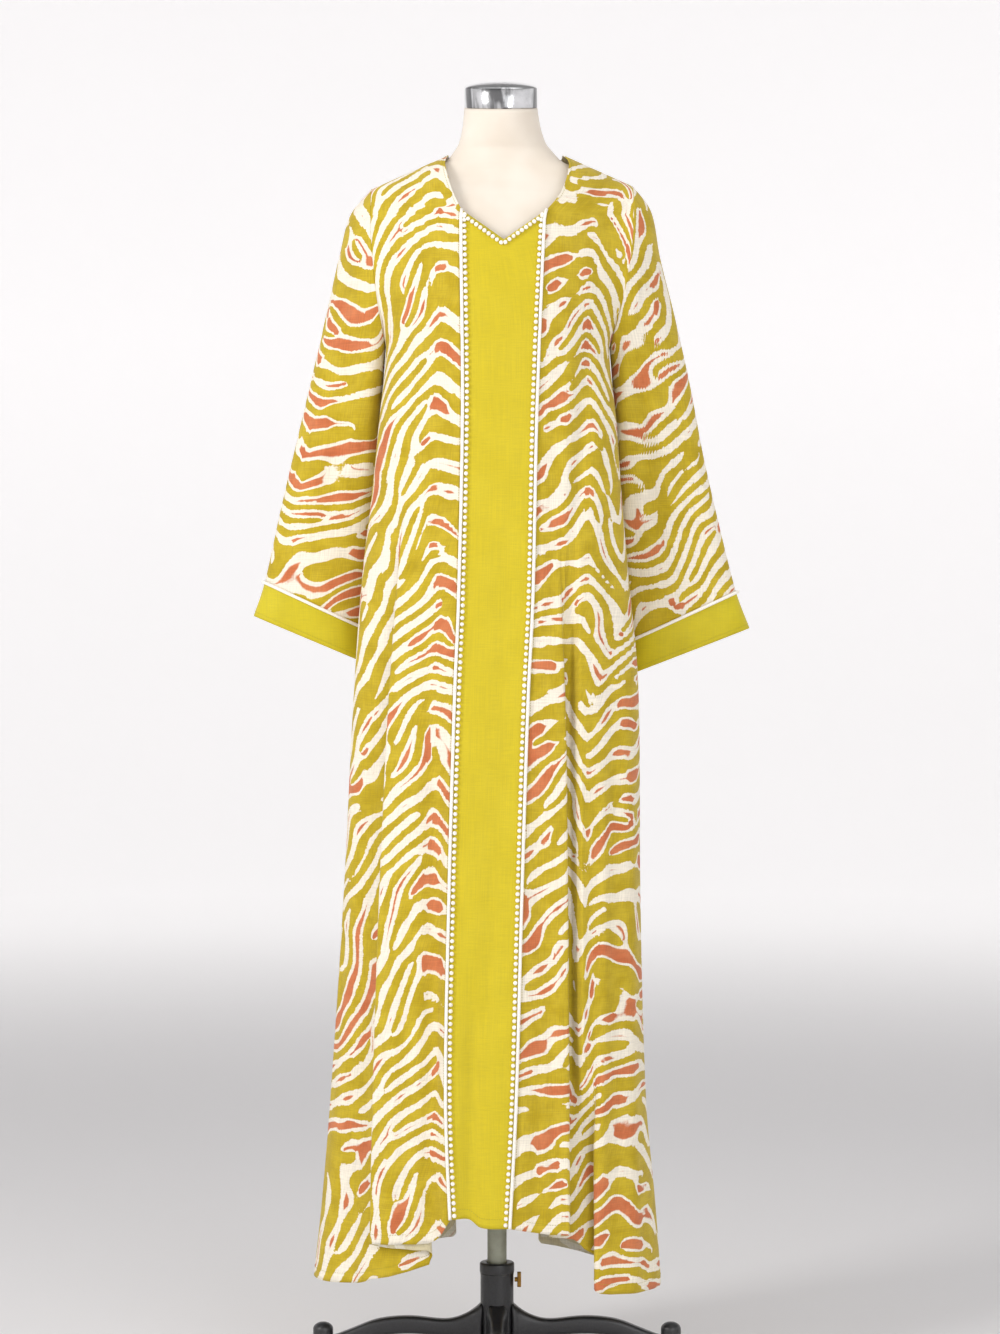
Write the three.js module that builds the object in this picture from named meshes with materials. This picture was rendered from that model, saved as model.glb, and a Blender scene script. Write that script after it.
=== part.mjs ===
import * as THREE from 'three';

// A long A-line abaya that hangs on a limbless dress form with an iron stand.
// Millimetres, +Z up. The origin is on the floor under the pole. The garment's
// front faces -Y, so the wearer's right hand is towards -X.

// Driving sizes
const WALL = 1.6;
const SEAM_GAP = 0.36;
const UNDERARM_HEIGHT = 1335;
const SHOULDER_Y = 8;
const BODY_ROWS = 10;
// Above 1, this puts the rows closer together near the underarm
const ROW_EASE = 1.4;
const YOKE_ROWS = 10;
const CORNER_ROW = 7;
const RING_STEPS = 180;
const FRONT_ROUNDNESS = 2.3;
const BACK_ROUNDNESS = 2.05;
const FOLD_RADIUS = 5;
const FOLD_LEAD = 1.5 * FOLD_RADIUS;
const FLAT_FOLD_HALF_WIDTH = 16;
const SEAM_FADE_WIDTH = 14;
const PIPING_RADIUS = 2.1;
const PIPING_SIDES = 6;
const PIPING_CLEARANCE = 0.3;
const RIGHT = -1;
const LEFT = 1;

// Turns rows of numbers into rows with named columns
function table(names, rows) {
  return rows.map((row) => Object.fromEntries(names.map((name, i) => [name, row[i]])));
}

// Body outline at each height: how far the cloth reaches to each side
const BODY_LEVELS = table(
  ['height', 'rightSide', 'leftSide', 'front', 'back', 'sideY'],
  [
    [120, -238, 212, -168, 170, -30],
    [230, -226, 204, -163, 163, -32],
    [362, -215, 192, -157, 154, -34],
    [620, -198, 184, -146, 138, -36],
    [893, -184, 182, -134, 126, -38],
    [1042, -173, 169, -126, 120, -38],
    [1135, -162, 161, -121, 113, -36],
    [1238, -152, 154, -119, 106, -28],
    [UNDERARM_HEIGHT, -144, 145.5, -118, 100, -6],
    // Only makes the slope nothing at the underarm, where the yoke starts
    [1432, -152, 154, -119, 106, -28],
  ],
);

// The two seams beside the centre panel, up to the corners of the neckline
const PANEL_SEAMS = table(
  ['height', 'right', 'left'],
  [
    [200, -57, 15],
    [377, -64, 24],
    [628, -60, 31],
    [879, -53, 39],
    [1005, -48, 45],
    [1257, -43, 50.5],
    [1490, -45.5, 60],
    [1503, -44.6, 63],
  ],
);
const NECK_CORNER_HEIGHT = 1502;
const NECK_TIP_HEIGHT = 1462;
const NECK_TOP = 1586;
const NECK_MIDDLE_X = 10;
const BACK_NECK_DIP = 18;

// The neckline from the centre panel's corner up to the shoulder seam
const NECKLINE = table(
  ['height', 'right', 'left'],
  [
    [NECK_CORNER_HEIGHT, -44.6, 63],
    [1527, -56, 81.8],
    [1570, -67, 93],
    [NECK_TOP, -63, 85],
  ],
);

// The armhole's end points, its forward and backward reach and its outward bow
const ARMHOLES = {
  [RIGHT]: { underX: -144, tipX: -163, tipHeight: 1542, front: 52, back: 47, bow: -6 },
  [LEFT]: { underX: 145.5, tipX: 176.5, tipHeight: 1546, front: 52, back: 47, bow: 10 },
};
// How narrow the strip is that the armhole draws forward or back. It is narrowest
// at the underarm, so that the cloth runs smoothly over that height.
const FRONT_PULL_POWER = 3;
const BACK_PULL_POWER = 4;
const UNDERARM_PULL_POWER = 14;
const UNDERARM_PULL_FADE = 7;
// The share of the armhole above the underarm where the seam still faces sideways
const UNDERARM_SHARE = 0.4;

// Hem height along each panel, from its -X end to its +X end in the front
const HEMS = {
  front_right: table(['along', 'height'], [
    [0, 137], [0.2, 139], [0.28, 150], [0.36, 176], [0.5, 190], [0.68, 196], [0.85, 206], [1, 229],
  ]),
  centre_panel: table(['along', 'height'], [[0, 230], [0.3, 230], [0.5, 220], [1, 219]]),
  front_left: table(['along', 'height'], [
    [0, 219], [0.15, 211], [0.35, 206], [0.5, 196], [0.68, 152], [0.78, 136], [1, 127],
  ]),
  back: table(['along', 'height'], [
    [0, 127], [0.12, 136], [0.35, 190], [0.5, 213], [0.65, 194], [0.88, 146], [1, 137],
  ]),
};

// Folds whose edge laps over the cloth beside it. The edge's x is given high,
// midway and low, and it looks towards -X or +X.
const FOLD_HIGH = 1200;
const FOLD_MIDDLE = 690;
const FOLD_LOW = 190;
const FOLDS = table(
  ['panel', 'looks', 'high', 'middle', 'low', 'starts', 'full', 'overlap'],
  [
    ['front_right', RIGHT, -118, -148.5, -162, 1230, 860, 74],
    ['front_left', LEFT, 83, 90, 93, 1150, 820, 20],
    ['front_left', RIGHT, 120, 122, 124, 460, 300, 12],
    ['back', LEFT, 92, 104, 116, 1120, 760, 52],
    ['back', RIGHT, -88, -100, -110, 1180, 840, 46],
  ],
);

// Soft troughs (positive depth) and ridges (negative depth)
const SOFT_CREASES = table(
  ['onBack', 'high', 'low', 'top', 'bottom', 'depth', 'width'],
  [
    [0, -80, -86, 1100, 150, 7, 15],
    [0, -112, -118, 1440, 1180, 6, 13],
    [0, 120, 106, 1400, 1130, 6, 13],
    [0, 164, 171, 1000, 150, -4, 12],
    [0, -28, -33, 560, 150, 5, 13],
    [0, 58, 52, 900, 150, 3, 15],
    [0, -186, -205, 700, 80, 6, 17],
    [1, 4, -8, 1240, 150, 8, 18],
    [1, 48, 56, 900, 150, 5, 15],
    [1, -46, -54, 1020, 150, 6, 16],
    [1, 168, 182, 760, 80, 6, 16],
    [1, -160, -186, 820, 80, 6, 16],
  ],
);

// The shares of a crease's length where it has faded in, and fades out
const CREASE_FADE_IN = 0.35;
const CREASE_FADE_OUT = [0.92, 1.25];

// Columns between the stations of each panel: its ends and its folds
const PANEL_SPANS = {
  front_right: [4, 4],
  centre_panel: [8],
  front_left: [4, 2, 4],
  back: [4, 8, 4],
};

// Each sleeve's outer and inner edge seen from the front, and its depth
const SLEEVE_COLUMNS = ['along', 'outerX', 'outerZ', 'innerX', 'innerZ', 'halfDepth', 'centreY'];
const SLEEVES = {
  [RIGHT]: table(SLEEVE_COLUMNS, [
    [0, -163, 1542, -144, 1335, 50, 0],
    [0.12, -191, 1508, -147, 1300, 50, 7],
    [0.25, -205, 1458, -151, 1255, 47, 13],
    [0.4, -224, 1376, -155, 1195, 41, 20],
    [0.55, -243, 1296, -159, 1132, 36, 26],
    [0.7, -263, 1213, -163, 1070, 32, 30],
    [0.85, -284, 1124, -168, 1015, 30, 32],
    [1, -304.5, 1031, -174, 970, 28, 33],
    [1.1, -319, 987, -171.5, 925, 28, 33],
  ]),
  [LEFT]: table(SLEEVE_COLUMNS, [
    [0, 176.5, 1546, 145.5, 1335, 50, 0],
    [0.12, 201, 1512, 149, 1300, 50, 7],
    [0.25, 213, 1452, 153, 1250, 47, 13],
    [0.4, 233, 1374, 157, 1190, 41, 20],
    [0.55, 253, 1286, 161, 1125, 36, 26],
    [0.7, 271, 1193, 165, 1062, 32, 30],
    [0.85, 293, 1098, 169, 1005, 30, 32],
    [1, 313.5, 1018, 173, 953, 28, 33],
    [1.1, 331, 971, 170.5, 909, 28, 33],
  ]),
};
const SLEEVE_COLUMN_COUNT = 2 * YOKE_ROWS;
const SLEEVE_ROWS = 11;
const CUFF_ROWS = 2;
const CUFF_END = 1.1;
const SLEEVE_LENGTH = 600;
const CUFF_GAP = SEAM_GAP / SLEEVE_LENGTH;
const NORMAL_STEP = 0.01;
// How far down the sleeve the armhole's shape reaches
const ROOT_PULL = 0.3;

const SLEEVE_FADE_IN = 0.3;
const SLEEVE_FADE_OUT = [0.7, 1];

// Long soft creases down each sleeve: where round the sleeve, from and to along it
const SLEEVE_CREASES = table(
  ['side', 'round', 'from', 'to', 'depth', 'width'],
  [
    [RIGHT, 0.26, 0.2, 0.9, 7, 0.05],
    [RIGHT, 0.36, 0.15, 0.6, 4, 0.05],
    [RIGHT, 0.72, 0.25, 0.95, 6, 0.05],
    [LEFT, 0.21, 0.15, 0.85, 7, 0.05],
    [LEFT, 0.34, 0.4, 0.95, 5, 0.05],
    [LEFT, 0.7, 0.2, 0.9, 6, 0.05],
  ],
);

// The dress form under the cloth: half width, front and back at each height
const FORM_LEVELS = table(
  ['height', 'centreX', 'halfWidth', 'front', 'back'],
  [
    [800, 0, 150, -84, 72],
    [806, 0, 158, -92, 80],
    [870, 0, 161, -98, 84],
    [960, 0, 152, -94, 80],
    [1060, 0, 124, -84, 70],
    [1180, 0, 130, -98, 68],
    [1270, 1, 134, -106, 72],
    [1335, 2, 136, -104, 74],
    [1400, 4, 142, -98, 72],
    [1460, 6, 150, -86, 64],
    [1500, 6, 152, -72, 54],
    [1530, 7, 148, -56, 44],
    [1546, 8, 136, -44, 37],
    [1562, 9, 108, -38, 34],
    [1575, 9, 78, -38, 35],
    [1590, 8, 64, -38, 39],
    [1600, 7, 57, -42, 42],
    [1620, 6, 51, -47, 44],
    [1646, 5, 47.5, -51, 44],
  ],
);
const FORM_SIDES = 24;

// The neck cap, tilted forward on the neck
const CAP_RADIUS = 47.3;
const CAP_HEIGHT = 25;
const CAP_DOME = 3;
const CAP_EDGE = 1.5;
const CAP_TILT = 12 * Math.PI / 180;
const NECK_BASE_HEIGHT = 1575;
const SEAT_GAP = 0.3;

// The stand
const POLE_RADIUS = 12.5;
const POLE_BOTTOM = 52;
const FLANGE_RADIUS = 55;
const FLANGE_THICKNESS = 6;
const HUB_RADIUS = 22.5;
const HUB_TOP = 147;
const HUB_WALL_GAP = 0.4;
const HUB_BOTTOM = 18;
const HUB_FLOOR = 30;
const HUB_CHAMFER = 4;
const LEG_HALF_WIDTH = 9;
const LEG_REACH = 226;
const POST_RADIUS = 13;
const POST_TOP = 69;
const POST_SHOULDER = 7;
const LEG_STEPS = 8;
const ROUND_SIDES = 24;
const LEG_PROFILE = table(
  ['reach', 'top', 'bottom'],
  [
    [20, 90, 44],
    [34, 82, 46],
    [62, 73, 50],
    [114, 77, 54],
    [156, 73, 50],
    [185, 62, 39],
    [LEG_REACH, 46, 24],
  ],
);
const SCREW_HEIGHT = 124;
const SCREW_SHANK_RADIUS = 3;
const SCREW_SHANK_LENGTH = 3.5;
const SCREW_HEAD_RADIUS = 9.5;
const SCREW_HEAD_LENGTH = 5;

// Materials
function printedCloth() {
  return new THREE.MeshStandardMaterial({ color: 0xcdb92d, roughness: 0.85, metalness: 0 });
}

function limeCloth() {
  return new THREE.MeshStandardMaterial({ color: 0xd6cc26, roughness: 0.75, metalness: 0 });
}

function whitePiping() {
  return new THREE.MeshStandardMaterial({ color: 0xf8f4ee, roughness: 0.7, metalness: 0 });
}

function creamJersey() {
  return new THREE.MeshStandardMaterial({ color: 0xf3ebdd, roughness: 0.9, metalness: 0 });
}

function chrome() {
  return new THREE.MeshStandardMaterial({ color: 0xc9ccd0, roughness: 0.15, metalness: 1 });
}

function blackIron() {
  return new THREE.MeshStandardMaterial({ color: 0x1d1d1f, roughness: 0.55, metalness: 0.5 });
}

function steel() {
  return new THREE.MeshStandardMaterial({ color: 0x8f948c, roughness: 0.35, metalness: 0.9 });
}

function brass() {
  return new THREE.MeshStandardMaterial({ color: 0xb08a4a, roughness: 0.35, metalness: 0.9 });
}

// Small helpers
function mix(a, b, t) {
  return a + (b - a) * t;
}

function smoothStep(from, to, value) {
  const t = Math.min(Math.max((value - from) / (to - from), 0), 1);
  return t * t * (3 - 2 * t);
}

function slopeAt(rows, key, column, i) {
  const before = rows[Math.max(i - 1, 0)];
  const after = rows[Math.min(i + 1, rows.length - 1)];
  return (after[column] - before[column]) / (after[key] - before[key]);
}

// Reads a column of a table at any key, with a smooth curve through its rows
function readTable(rows, key, column, at) {
  const last = rows.length - 1;
  const value = Math.min(Math.max(at, rows[0][key]), rows[last][key]);
  let i = 0;
  while (i < last - 1 && rows[i + 1][key] < value) i += 1;
  const step = rows[i + 1][key] - rows[i][key];
  const t = (value - rows[i][key]) / step;
  const start = slopeAt(rows, key, column, i) * step;
  const end = slopeAt(rows, key, column, i + 1) * step;
  const a = rows[i][column];
  const b = rows[i + 1][column];
  const curve = t * t * (3 - 2 * t);
  return mix(a, b, curve) + t * (1 - t) * ((1 - t) * start - t * end);
}

// The body's outline at one height, as points with the length along it. The
// length is 0 at the front centre, negative towards -X and positive towards +X.
const rings = new Map();

function outlinePoint(level, turn) {
  const across = Math.sin(turn);
  const along = Math.cos(turn);
  const power = 2 / (along > 0 ? FRONT_ROUNDNESS : BACK_ROUNDNESS);
  const reach = across < 0 ? level.rightSide : level.leftSide;
  const depth = along > 0 ? level.front - level.sideY : level.back - level.sideY;
  const x = reach * Math.abs(across) ** power;
  const y = level.sideY + depth * Math.abs(along) ** power;
  return new THREE.Vector2(x, y);
}

function bodyRing(height) {
  const key = height.toFixed(2);
  if (rings.has(key)) return rings.get(key);
  const level = {};
  for (const column of ['rightSide', 'leftSide', 'front', 'back', 'sideY']) {
    level[column] = readTable(BODY_LEVELS, 'height', column, height);
  }
  const points = [];
  const lengths = [0];
  for (let i = 0; i <= RING_STEPS; i += 1) {
    points.push(outlinePoint(level, Math.PI * (2 * i / RING_STEPS - 1)));
    if (i > 0) lengths.push(lengths[i - 1] + points[i].distanceTo(points[i - 1]));
  }
  const middle = lengths[RING_STEPS / 2];
  const ring = { level, points, total: lengths[RING_STEPS], lengths: lengths.map((l) => l - middle) };
  rings.set(key, ring);
  return ring;
}

// The length along a ring at one turn, from -PI to PI with 0 at the front
function lengthAtTurn(ring, turn) {
  const place = (turn / Math.PI + 1) * RING_STEPS / 2;
  const i = Math.min(Math.max(Math.floor(place), 0), RING_STEPS - 1);
  return mix(ring.lengths[i], ring.lengths[i + 1], place - i);
}

function lengthAtX(ring, x, onBack) {
  const reach = x < 0 ? ring.level.rightSide : ring.level.leftSide;
  const roundness = onBack ? BACK_ROUNDNESS : FRONT_ROUNDNESS;
  const share = Math.min(Math.abs(x / reach), 1);
  const turn = Math.sign(x) * Math.asin(share ** (roundness / 2));
  if (!onBack) return lengthAtTurn(ring, turn);
  const backTurn = Math.PI - turn;
  if (backTurn <= Math.PI) return lengthAtTurn(ring, backTurn);
  return lengthAtTurn(ring, backTurn - 2 * Math.PI) + ring.total;
}

// A place on a ring, and the direction along it and out of it
function placeOnRing(ring, length) {
  let l = length;
  if (l > ring.lengths[RING_STEPS]) l -= ring.total;
  let low = 0;
  let high = RING_STEPS;
  while (high - low > 1) {
    const middle = (low + high) >> 1;
    if (ring.lengths[middle] <= l) low = middle;
    else high = middle;
  }
  const t = (l - ring.lengths[low]) / (ring.lengths[high] - ring.lengths[low]);
  const point = ring.points[low].clone().lerp(ring.points[high], t);
  const along = ring.points[high].clone().sub(ring.points[low]).normalize();
  return { point, along, out: new THREE.Vector2(along.y, -along.x) };
}

// The ends of each body panel, as lengths along a ring
function panelEnds(panel, ring, height) {
  const rightSeam = lengthAtX(ring, readTable(PANEL_SEAMS, 'height', 'right', height), false);
  const leftSeam = lengthAtX(ring, readTable(PANEL_SEAMS, 'height', 'left', height), false);
  const rightSide = lengthAtTurn(ring, -Math.PI / 2);
  const leftSide = lengthAtTurn(ring, Math.PI / 2);
  if (panel === 'front_right') return [rightSide, rightSeam];
  if (panel === 'centre_panel') return [rightSeam, leftSeam];
  if (panel === 'front_left') return [leftSeam, leftSide];
  return [leftSide, rightSide + ring.total];
}

function foldEdgeX(fold, height) {
  const t = (FOLD_HIGH - Math.max(height, FOLD_LOW)) / (FOLD_HIGH - FOLD_LOW);
  const middle = (FOLD_HIGH - FOLD_MIDDLE) / (FOLD_HIGH - FOLD_LOW);
  const first = fold.high * (t - middle) * (t - 1) / middle;
  const second = fold.middle * t * (t - 1) / (middle * (middle - 1));
  const third = fold.low * t * (t - middle) / (1 - middle);
  return first + second + third;
}

// The cloth's path through one lapped fold, as steps along and out. It runs
// under the edge, back again and out over it, and is flat above the fold.
function foldPath(fold, height) {
  const overlap = fold.overlap * (fold.starts - height) / (fold.starts - FOLD_LOW);
  const lap = Math.max(overlap, 0);
  const r = FOLD_RADIUS;
  const lapped = [
    [-FOLD_LEAD, -4 * r],
    [lap, -4 * r],
    [lap + r, -3 * r],
    [lap, -2 * r],
    [r, -2 * r],
    [0, -r],
    [r, 0],
    [lap + r, 0],
  ];
  const closed = 1 - smoothStep(fold.full, fold.starts, height);
  const path = lapped.map(([along, out], i) => {
    const flat = FLAT_FOLD_HALF_WIDTH * (2 * i / (lapped.length - 1) - 1);
    return { along: mix(flat, along, closed), out: out * closed };
  });
  // A ring runs towards +X in the front and towards -X in the back
  const mirrored = fold.looks * (fold.panel === 'back' ? -1 : 1) > 0;
  if (!mirrored) return path;
  return path.reverse().map((step) => ({ along: -step.along, out: step.out }));
}

// All columns of a panel at one height, as lengths along the ring and steps out
function panelColumns(panel, height) {
  const ring = bodyRing(height);
  const [start, end] = panelEnds(panel, ring, height);
  const folds = FOLDS.filter((fold) => fold.panel === panel);
  const stations = [[{ length: start, out: 0 }]];
  for (const fold of folds) {
    const edge = lengthAtX(ring, foldEdgeX(fold, height), panel === 'back');
    stations.push(foldPath(fold, height).map((step) => ({ length: edge + step.along, out: step.out })));
  }
  stations.push([{ length: end, out: 0 }]);
  const columns = [...stations[0]];
  for (let i = 1; i < stations.length; i += 1) {
    const from = columns[columns.length - 1];
    const to = stations[i][0];
    const span = PANEL_SPANS[panel][i - 1];
    for (let step = 1; step < span; step += 1) {
      const t = step / span;
      const out = mix(from.out, to.out, smoothStep(0, 1, t));
      columns.push({ length: mix(from.length, to.length, t), out });
    }
    columns.push(...stations[i]);
  }
  return columns;
}

// How far the soft creases move the cloth in at one place
function softCrease(x, height, onBack) {
  let depth = 0;
  for (const crease of SOFT_CREASES) {
    if (Boolean(crease.onBack) !== onBack) continue;
    const t = (crease.top - height) / (crease.top - crease.bottom);
    const middle = mix(crease.high, crease.low, t);
    const fade = smoothStep(0, CREASE_FADE_IN, t) * (1 - smoothStep(...CREASE_FADE_OUT, t));
    depth += crease.depth * fade * Math.exp(-(((x - middle) / crease.width) ** 2));
  }
  return depth;
}

// How far a place is from its panel's ends, so that creases die out at seams
function seamFade(length, start, end) {
  const distance = Math.min(length - start, end - length);
  return smoothStep(0, SEAM_FADE_WIDTH, distance);
}

// A point of the body below the underarm
function skirtPoint(panel, column, height) {
  const ring = bodyRing(height);
  const [start, end] = panelEnds(panel, ring, height);
  const { length, out } = panelColumns(panel, height)[column];
  const place = placeOnRing(ring, length);
  const crease = softCrease(place.point.x, height, panel === 'back') * seamFade(length, start, end);
  place.point.addScaledVector(place.out, out - crease);
  return new THREE.Vector3(place.point.x, place.point.y, height);
}

// A point of the armhole: 0 at the underarm, PI at the shoulder tip, the front
// first and then the back
function armholePoint(side, turn) {
  const arm = ARMHOLES[side];
  const rise = (1 - Math.cos(turn)) / 2;
  const bulge = Math.sin(turn);
  const underY = readTable(BODY_LEVELS, 'height', 'sideY', UNDERARM_HEIGHT);
  const x = mix(arm.underX, arm.tipX, rise) + arm.bow * bulge ** 2;
  const y = mix(underY, SHOULDER_Y, rise) - bulge * (bulge > 0 ? arm.front : arm.back);
  return new THREE.Vector3(x, y, mix(UNDERARM_HEIGHT, arm.tipHeight, rise));
}

function yokeRise(row) {
  return (1 - Math.cos(Math.PI * row / YOKE_ROWS)) / 2;
}

// Height of a yoke row at the inner edge of a front, through the neck's corner
function innerHeight(row) {
  const corner = yokeRise(CORNER_ROW);
  const rise = yokeRise(row);
  if (row <= CORNER_ROW) return mix(UNDERARM_HEIGHT, NECK_CORNER_HEIGHT, rise / corner);
  return mix(NECK_CORNER_HEIGHT, NECK_TOP, (rise - corner) / (1 - corner));
}

function innerX(side, height) {
  const name = side === RIGHT ? 'right' : 'left';
  if (height <= NECK_CORNER_HEIGHT) return readTable(PANEL_SEAMS, 'height', name, height);
  return readTable(NECKLINE, 'height', name, height);
}

function domeShare(height, top) {
  const t = Math.min(Math.max((height - UNDERARM_HEIGHT) / (top - UNDERARM_HEIGHT), 0), 1);
  return Math.sqrt(1 - t * t);
}

function pullPower(power, rise) {
  return power + UNDERARM_PULL_POWER * (1 - rise) ** UNDERARM_PULL_FADE;
}

// A point of a front above the underarm
function frontYokePoint(panel, side, column, row) {
  const ring = bodyRing(UNDERARM_HEIGHT);
  const [start, end] = panelEnds(panel, ring, UNDERARM_HEIGHT);
  const base = panelColumns(panel, UNDERARM_HEIGHT)[column];
  const place = placeOnRing(ring, base.length);
  const share = (base.length - start) / (end - start);
  const outward = side === RIGHT ? 1 - share : share;
  const seamX = innerX(side, UNDERARM_HEIGHT);
  const sideX = ARMHOLES[side].underX;
  const acrossBelow = (place.point.x - seamX) / (sideX - seamX);
  const rise = yokeRise(row);
  const arm = armholePoint(side, Math.PI * row / YOKE_ROWS);
  const inner = innerHeight(row);
  const across = mix(acrossBelow, outward, rise);
  const x = mix(innerX(side, inner), arm.x, across);
  const z = mix(inner, arm.z, outward);
  const top = mix(NECK_TOP, ARMHOLES[side].tipHeight, outward);
  const remains = domeShare(z, top);
  const dome = SHOULDER_Y + (place.point.y - SHOULDER_Y) * remains;
  const sideY = readTable(BODY_LEVELS, 'height', 'sideY', UNDERARM_HEIGHT);
  const edge = SHOULDER_Y + (sideY - SHOULDER_Y) * remains;
  const crease = softCrease(x, z, false) * seamFade(base.length, start, end) * (1 - rise);
  const nearSide = outward ** pullPower(FRONT_PULL_POWER, rise);
  return new THREE.Vector3(x, dome + (arm.y - edge) * nearSide + crease, z);
}

// A point of the back above the underarm
function backYokePoint(column, row) {
  const ring = bodyRing(UNDERARM_HEIGHT);
  const [start, end] = panelEnds('back', ring, UNDERARM_HEIGHT);
  const base = panelColumns('back', UNDERARM_HEIGHT)[column];
  const place = placeOnRing(ring, base.length);
  const share = (base.length - start) / (end - start);
  const rise = yokeRise(row);
  const leftArm = armholePoint(LEFT, -Math.PI * row / YOKE_ROWS);
  const rightArm = armholePoint(RIGHT, -Math.PI * row / YOKE_ROWS);
  const widthBelow = ARMHOLES[LEFT].underX - ARMHOLES[RIGHT].underX;
  const below = (ARMHOLES[LEFT].underX - place.point.x) / widthBelow;
  const across = mix(below, share, rise);
  const x = mix(leftArm.x, rightArm.x, across);
  const top = backTopHeight(x);
  const z = mix(UNDERARM_HEIGHT, top, rise);
  const remains = domeShare(z, Math.max(shoulderHeight(x), top));
  const dome = SHOULDER_Y + (place.point.y - SHOULDER_Y) * remains;
  const sideY = readTable(BODY_LEVELS, 'height', 'sideY', UNDERARM_HEIGHT);
  const side = share < 0.5 ? leftArm : rightArm;
  const edge = SHOULDER_Y + (sideY - SHOULDER_Y) * domeShare(side.z, top);
  const nearSide = Math.abs(2 * share - 1) ** pullPower(BACK_PULL_POWER, rise);
  return new THREE.Vector3(x, dome + (side.y - edge) * nearSide, z);
}

// The shoulder seam's height at one x, and its imagined line across the neck
function shoulderHeight(x) {
  const side = x < NECK_MIDDLE_X ? RIGHT : LEFT;
  const neckX = innerX(side, NECK_TOP);
  const arm = ARMHOLES[side];
  const t = (x - neckX) / (arm.tipX - neckX);
  return mix(NECK_TOP, arm.tipHeight, Math.max(t, 0));
}

function backTopHeight(x) {
  const rightX = innerX(RIGHT, NECK_TOP);
  const leftX = innerX(LEFT, NECK_TOP);
  const t = (2 * x - rightX - leftX) / (leftX - rightX);
  if (Math.abs(t) >= 1) return shoulderHeight(x);
  return NECK_TOP - BACK_NECK_DIP * Math.sqrt(1 - t * t);
}

// Height of the V neckline's edge on the centre panel
function neckEdgeHeight(share) {
  return mix(NECK_TIP_HEIGHT, NECK_CORNER_HEIGHT, Math.abs(2 * share - 1));
}

// A point of the centre panel above the underarm, up to the V neckline
function centreYokePoint(column, row) {
  const ring = bodyRing(UNDERARM_HEIGHT);
  const columns = panelColumns('centre_panel', UNDERARM_HEIGHT);
  const share = column / (columns.length - 1);
  const place = placeOnRing(ring, columns[column].length);
  const rise = (innerHeight(row) - UNDERARM_HEIGHT) / (NECK_CORNER_HEIGHT - UNDERARM_HEIGHT);
  const z = mix(UNDERARM_HEIGHT, neckEdgeHeight(share), rise);
  const x = mix(innerX(RIGHT, innerHeight(row)), innerX(LEFT, innerHeight(row)), share);
  return new THREE.Vector3(x, SHOULDER_Y + (place.point.y - SHOULDER_Y) * domeShare(z, NECK_TOP), z);
}

// The rows of points of one body panel, from the hem up
function panelPoints(panel) {
  const count = panelColumns(panel, UNDERARM_HEIGHT).length;
  const rows = [];
  for (let row = 0; row < BODY_ROWS; row += 1) {
    const line = [];
    for (let column = 0; column < count; column += 1) {
      const hem = readTable(HEMS[panel], 'along', 'height', column / (count - 1));
      const height = mix(hem, UNDERARM_HEIGHT, 1 - (1 - row / BODY_ROWS) ** ROW_EASE);
      line.push(skirtPoint(panel, column, height));
    }
    rows.push(line);
  }
  const yokeRows = panel === 'centre_panel' ? CORNER_ROW : YOKE_ROWS;
  for (let row = 0; row <= yokeRows; row += 1) {
    const line = [];
    for (let column = 0; column < count; column += 1) {
      if (panel === 'front_right') line.push(frontYokePoint(panel, RIGHT, column, row));
      else if (panel === 'front_left') line.push(frontYokePoint(panel, LEFT, column, row));
      else if (panel === 'centre_panel') line.push(centreYokePoint(column, row));
      else line.push(backYokePoint(column, row));
    }
    rows.push(line);
  }
  return rows;
}

function bisector(before, here, after) {
  const direction = new THREE.Vector3();
  if (before) direction.add(here.clone().sub(before).normalize());
  if (after) direction.add(after.clone().sub(here).normalize());
  return direction.normalize();
}

// The direction along a panel's edge column that both neighbours share
function seamDirection(panel, column, height) {
  const ring = bodyRing(Math.min(height, UNDERARM_HEIGHT));
  const [start, end] = panelEnds(panel, ring, Math.min(height, UNDERARM_HEIGHT));
  const { along } = placeOnRing(ring, column === 0 ? start : end);
  return new THREE.Vector3(along.x, along.y, 0);
}

// Outward directions of a panel's points, equal on both sides of every seam
function panelNormals(panel, rows) {
  const lastRow = rows.length - 1;
  const lastColumn = rows[0].length - 1;
  return rows.map((line, r) => line.map((here, c) => {
    const isEdge = c === 0 || c === lastColumn;
    const across = isEdge
      ? seamDirection(panel, c, here.z)
      : bisector(line[c - 1], here, line[c + 1]);
    let up = bisector(rows[r - 1]?.[c], here, rows[r + 1]?.[c]);
    if (r === lastRow && panel !== 'centre_panel') {
      up = new THREE.Vector3(0, panel === 'back' ? -1 : 1, 0);
    }
    const side = sideOfEdge(panel, c, lastColumn);
    if (side !== 0 && r > BODY_ROWS) return armholeNormal(side, here, r - BODY_ROWS);
    return across.cross(up).normalize();
  }));
}

// Which armhole a panel's edge column runs into, or 0
function sideOfEdge(panel, column, lastColumn) {
  if (panel === 'front_right' && column === 0) return RIGHT;
  if (panel === 'front_left' && column === lastColumn) return LEFT;
  if (panel === 'back' && column === 0) return LEFT;
  if (panel === 'back' && column === lastColumn) return RIGHT;
  return 0;
}

// Straight out of the armhole's middle, and sideways near the underarm
function armholeNormal(side, here, row) {
  const middle = (UNDERARM_HEIGHT + ARMHOLES[side].tipHeight) / 2;
  const radial = new THREE.Vector3(0, here.y, here.z - middle).normalize();
  const nearUnderarm = 1 - smoothStep(0, UNDERARM_SHARE, row / YOKE_ROWS);
  return radial.lerp(new THREE.Vector3(side, 0, 0), nearUnderarm).normalize();
}

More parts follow.
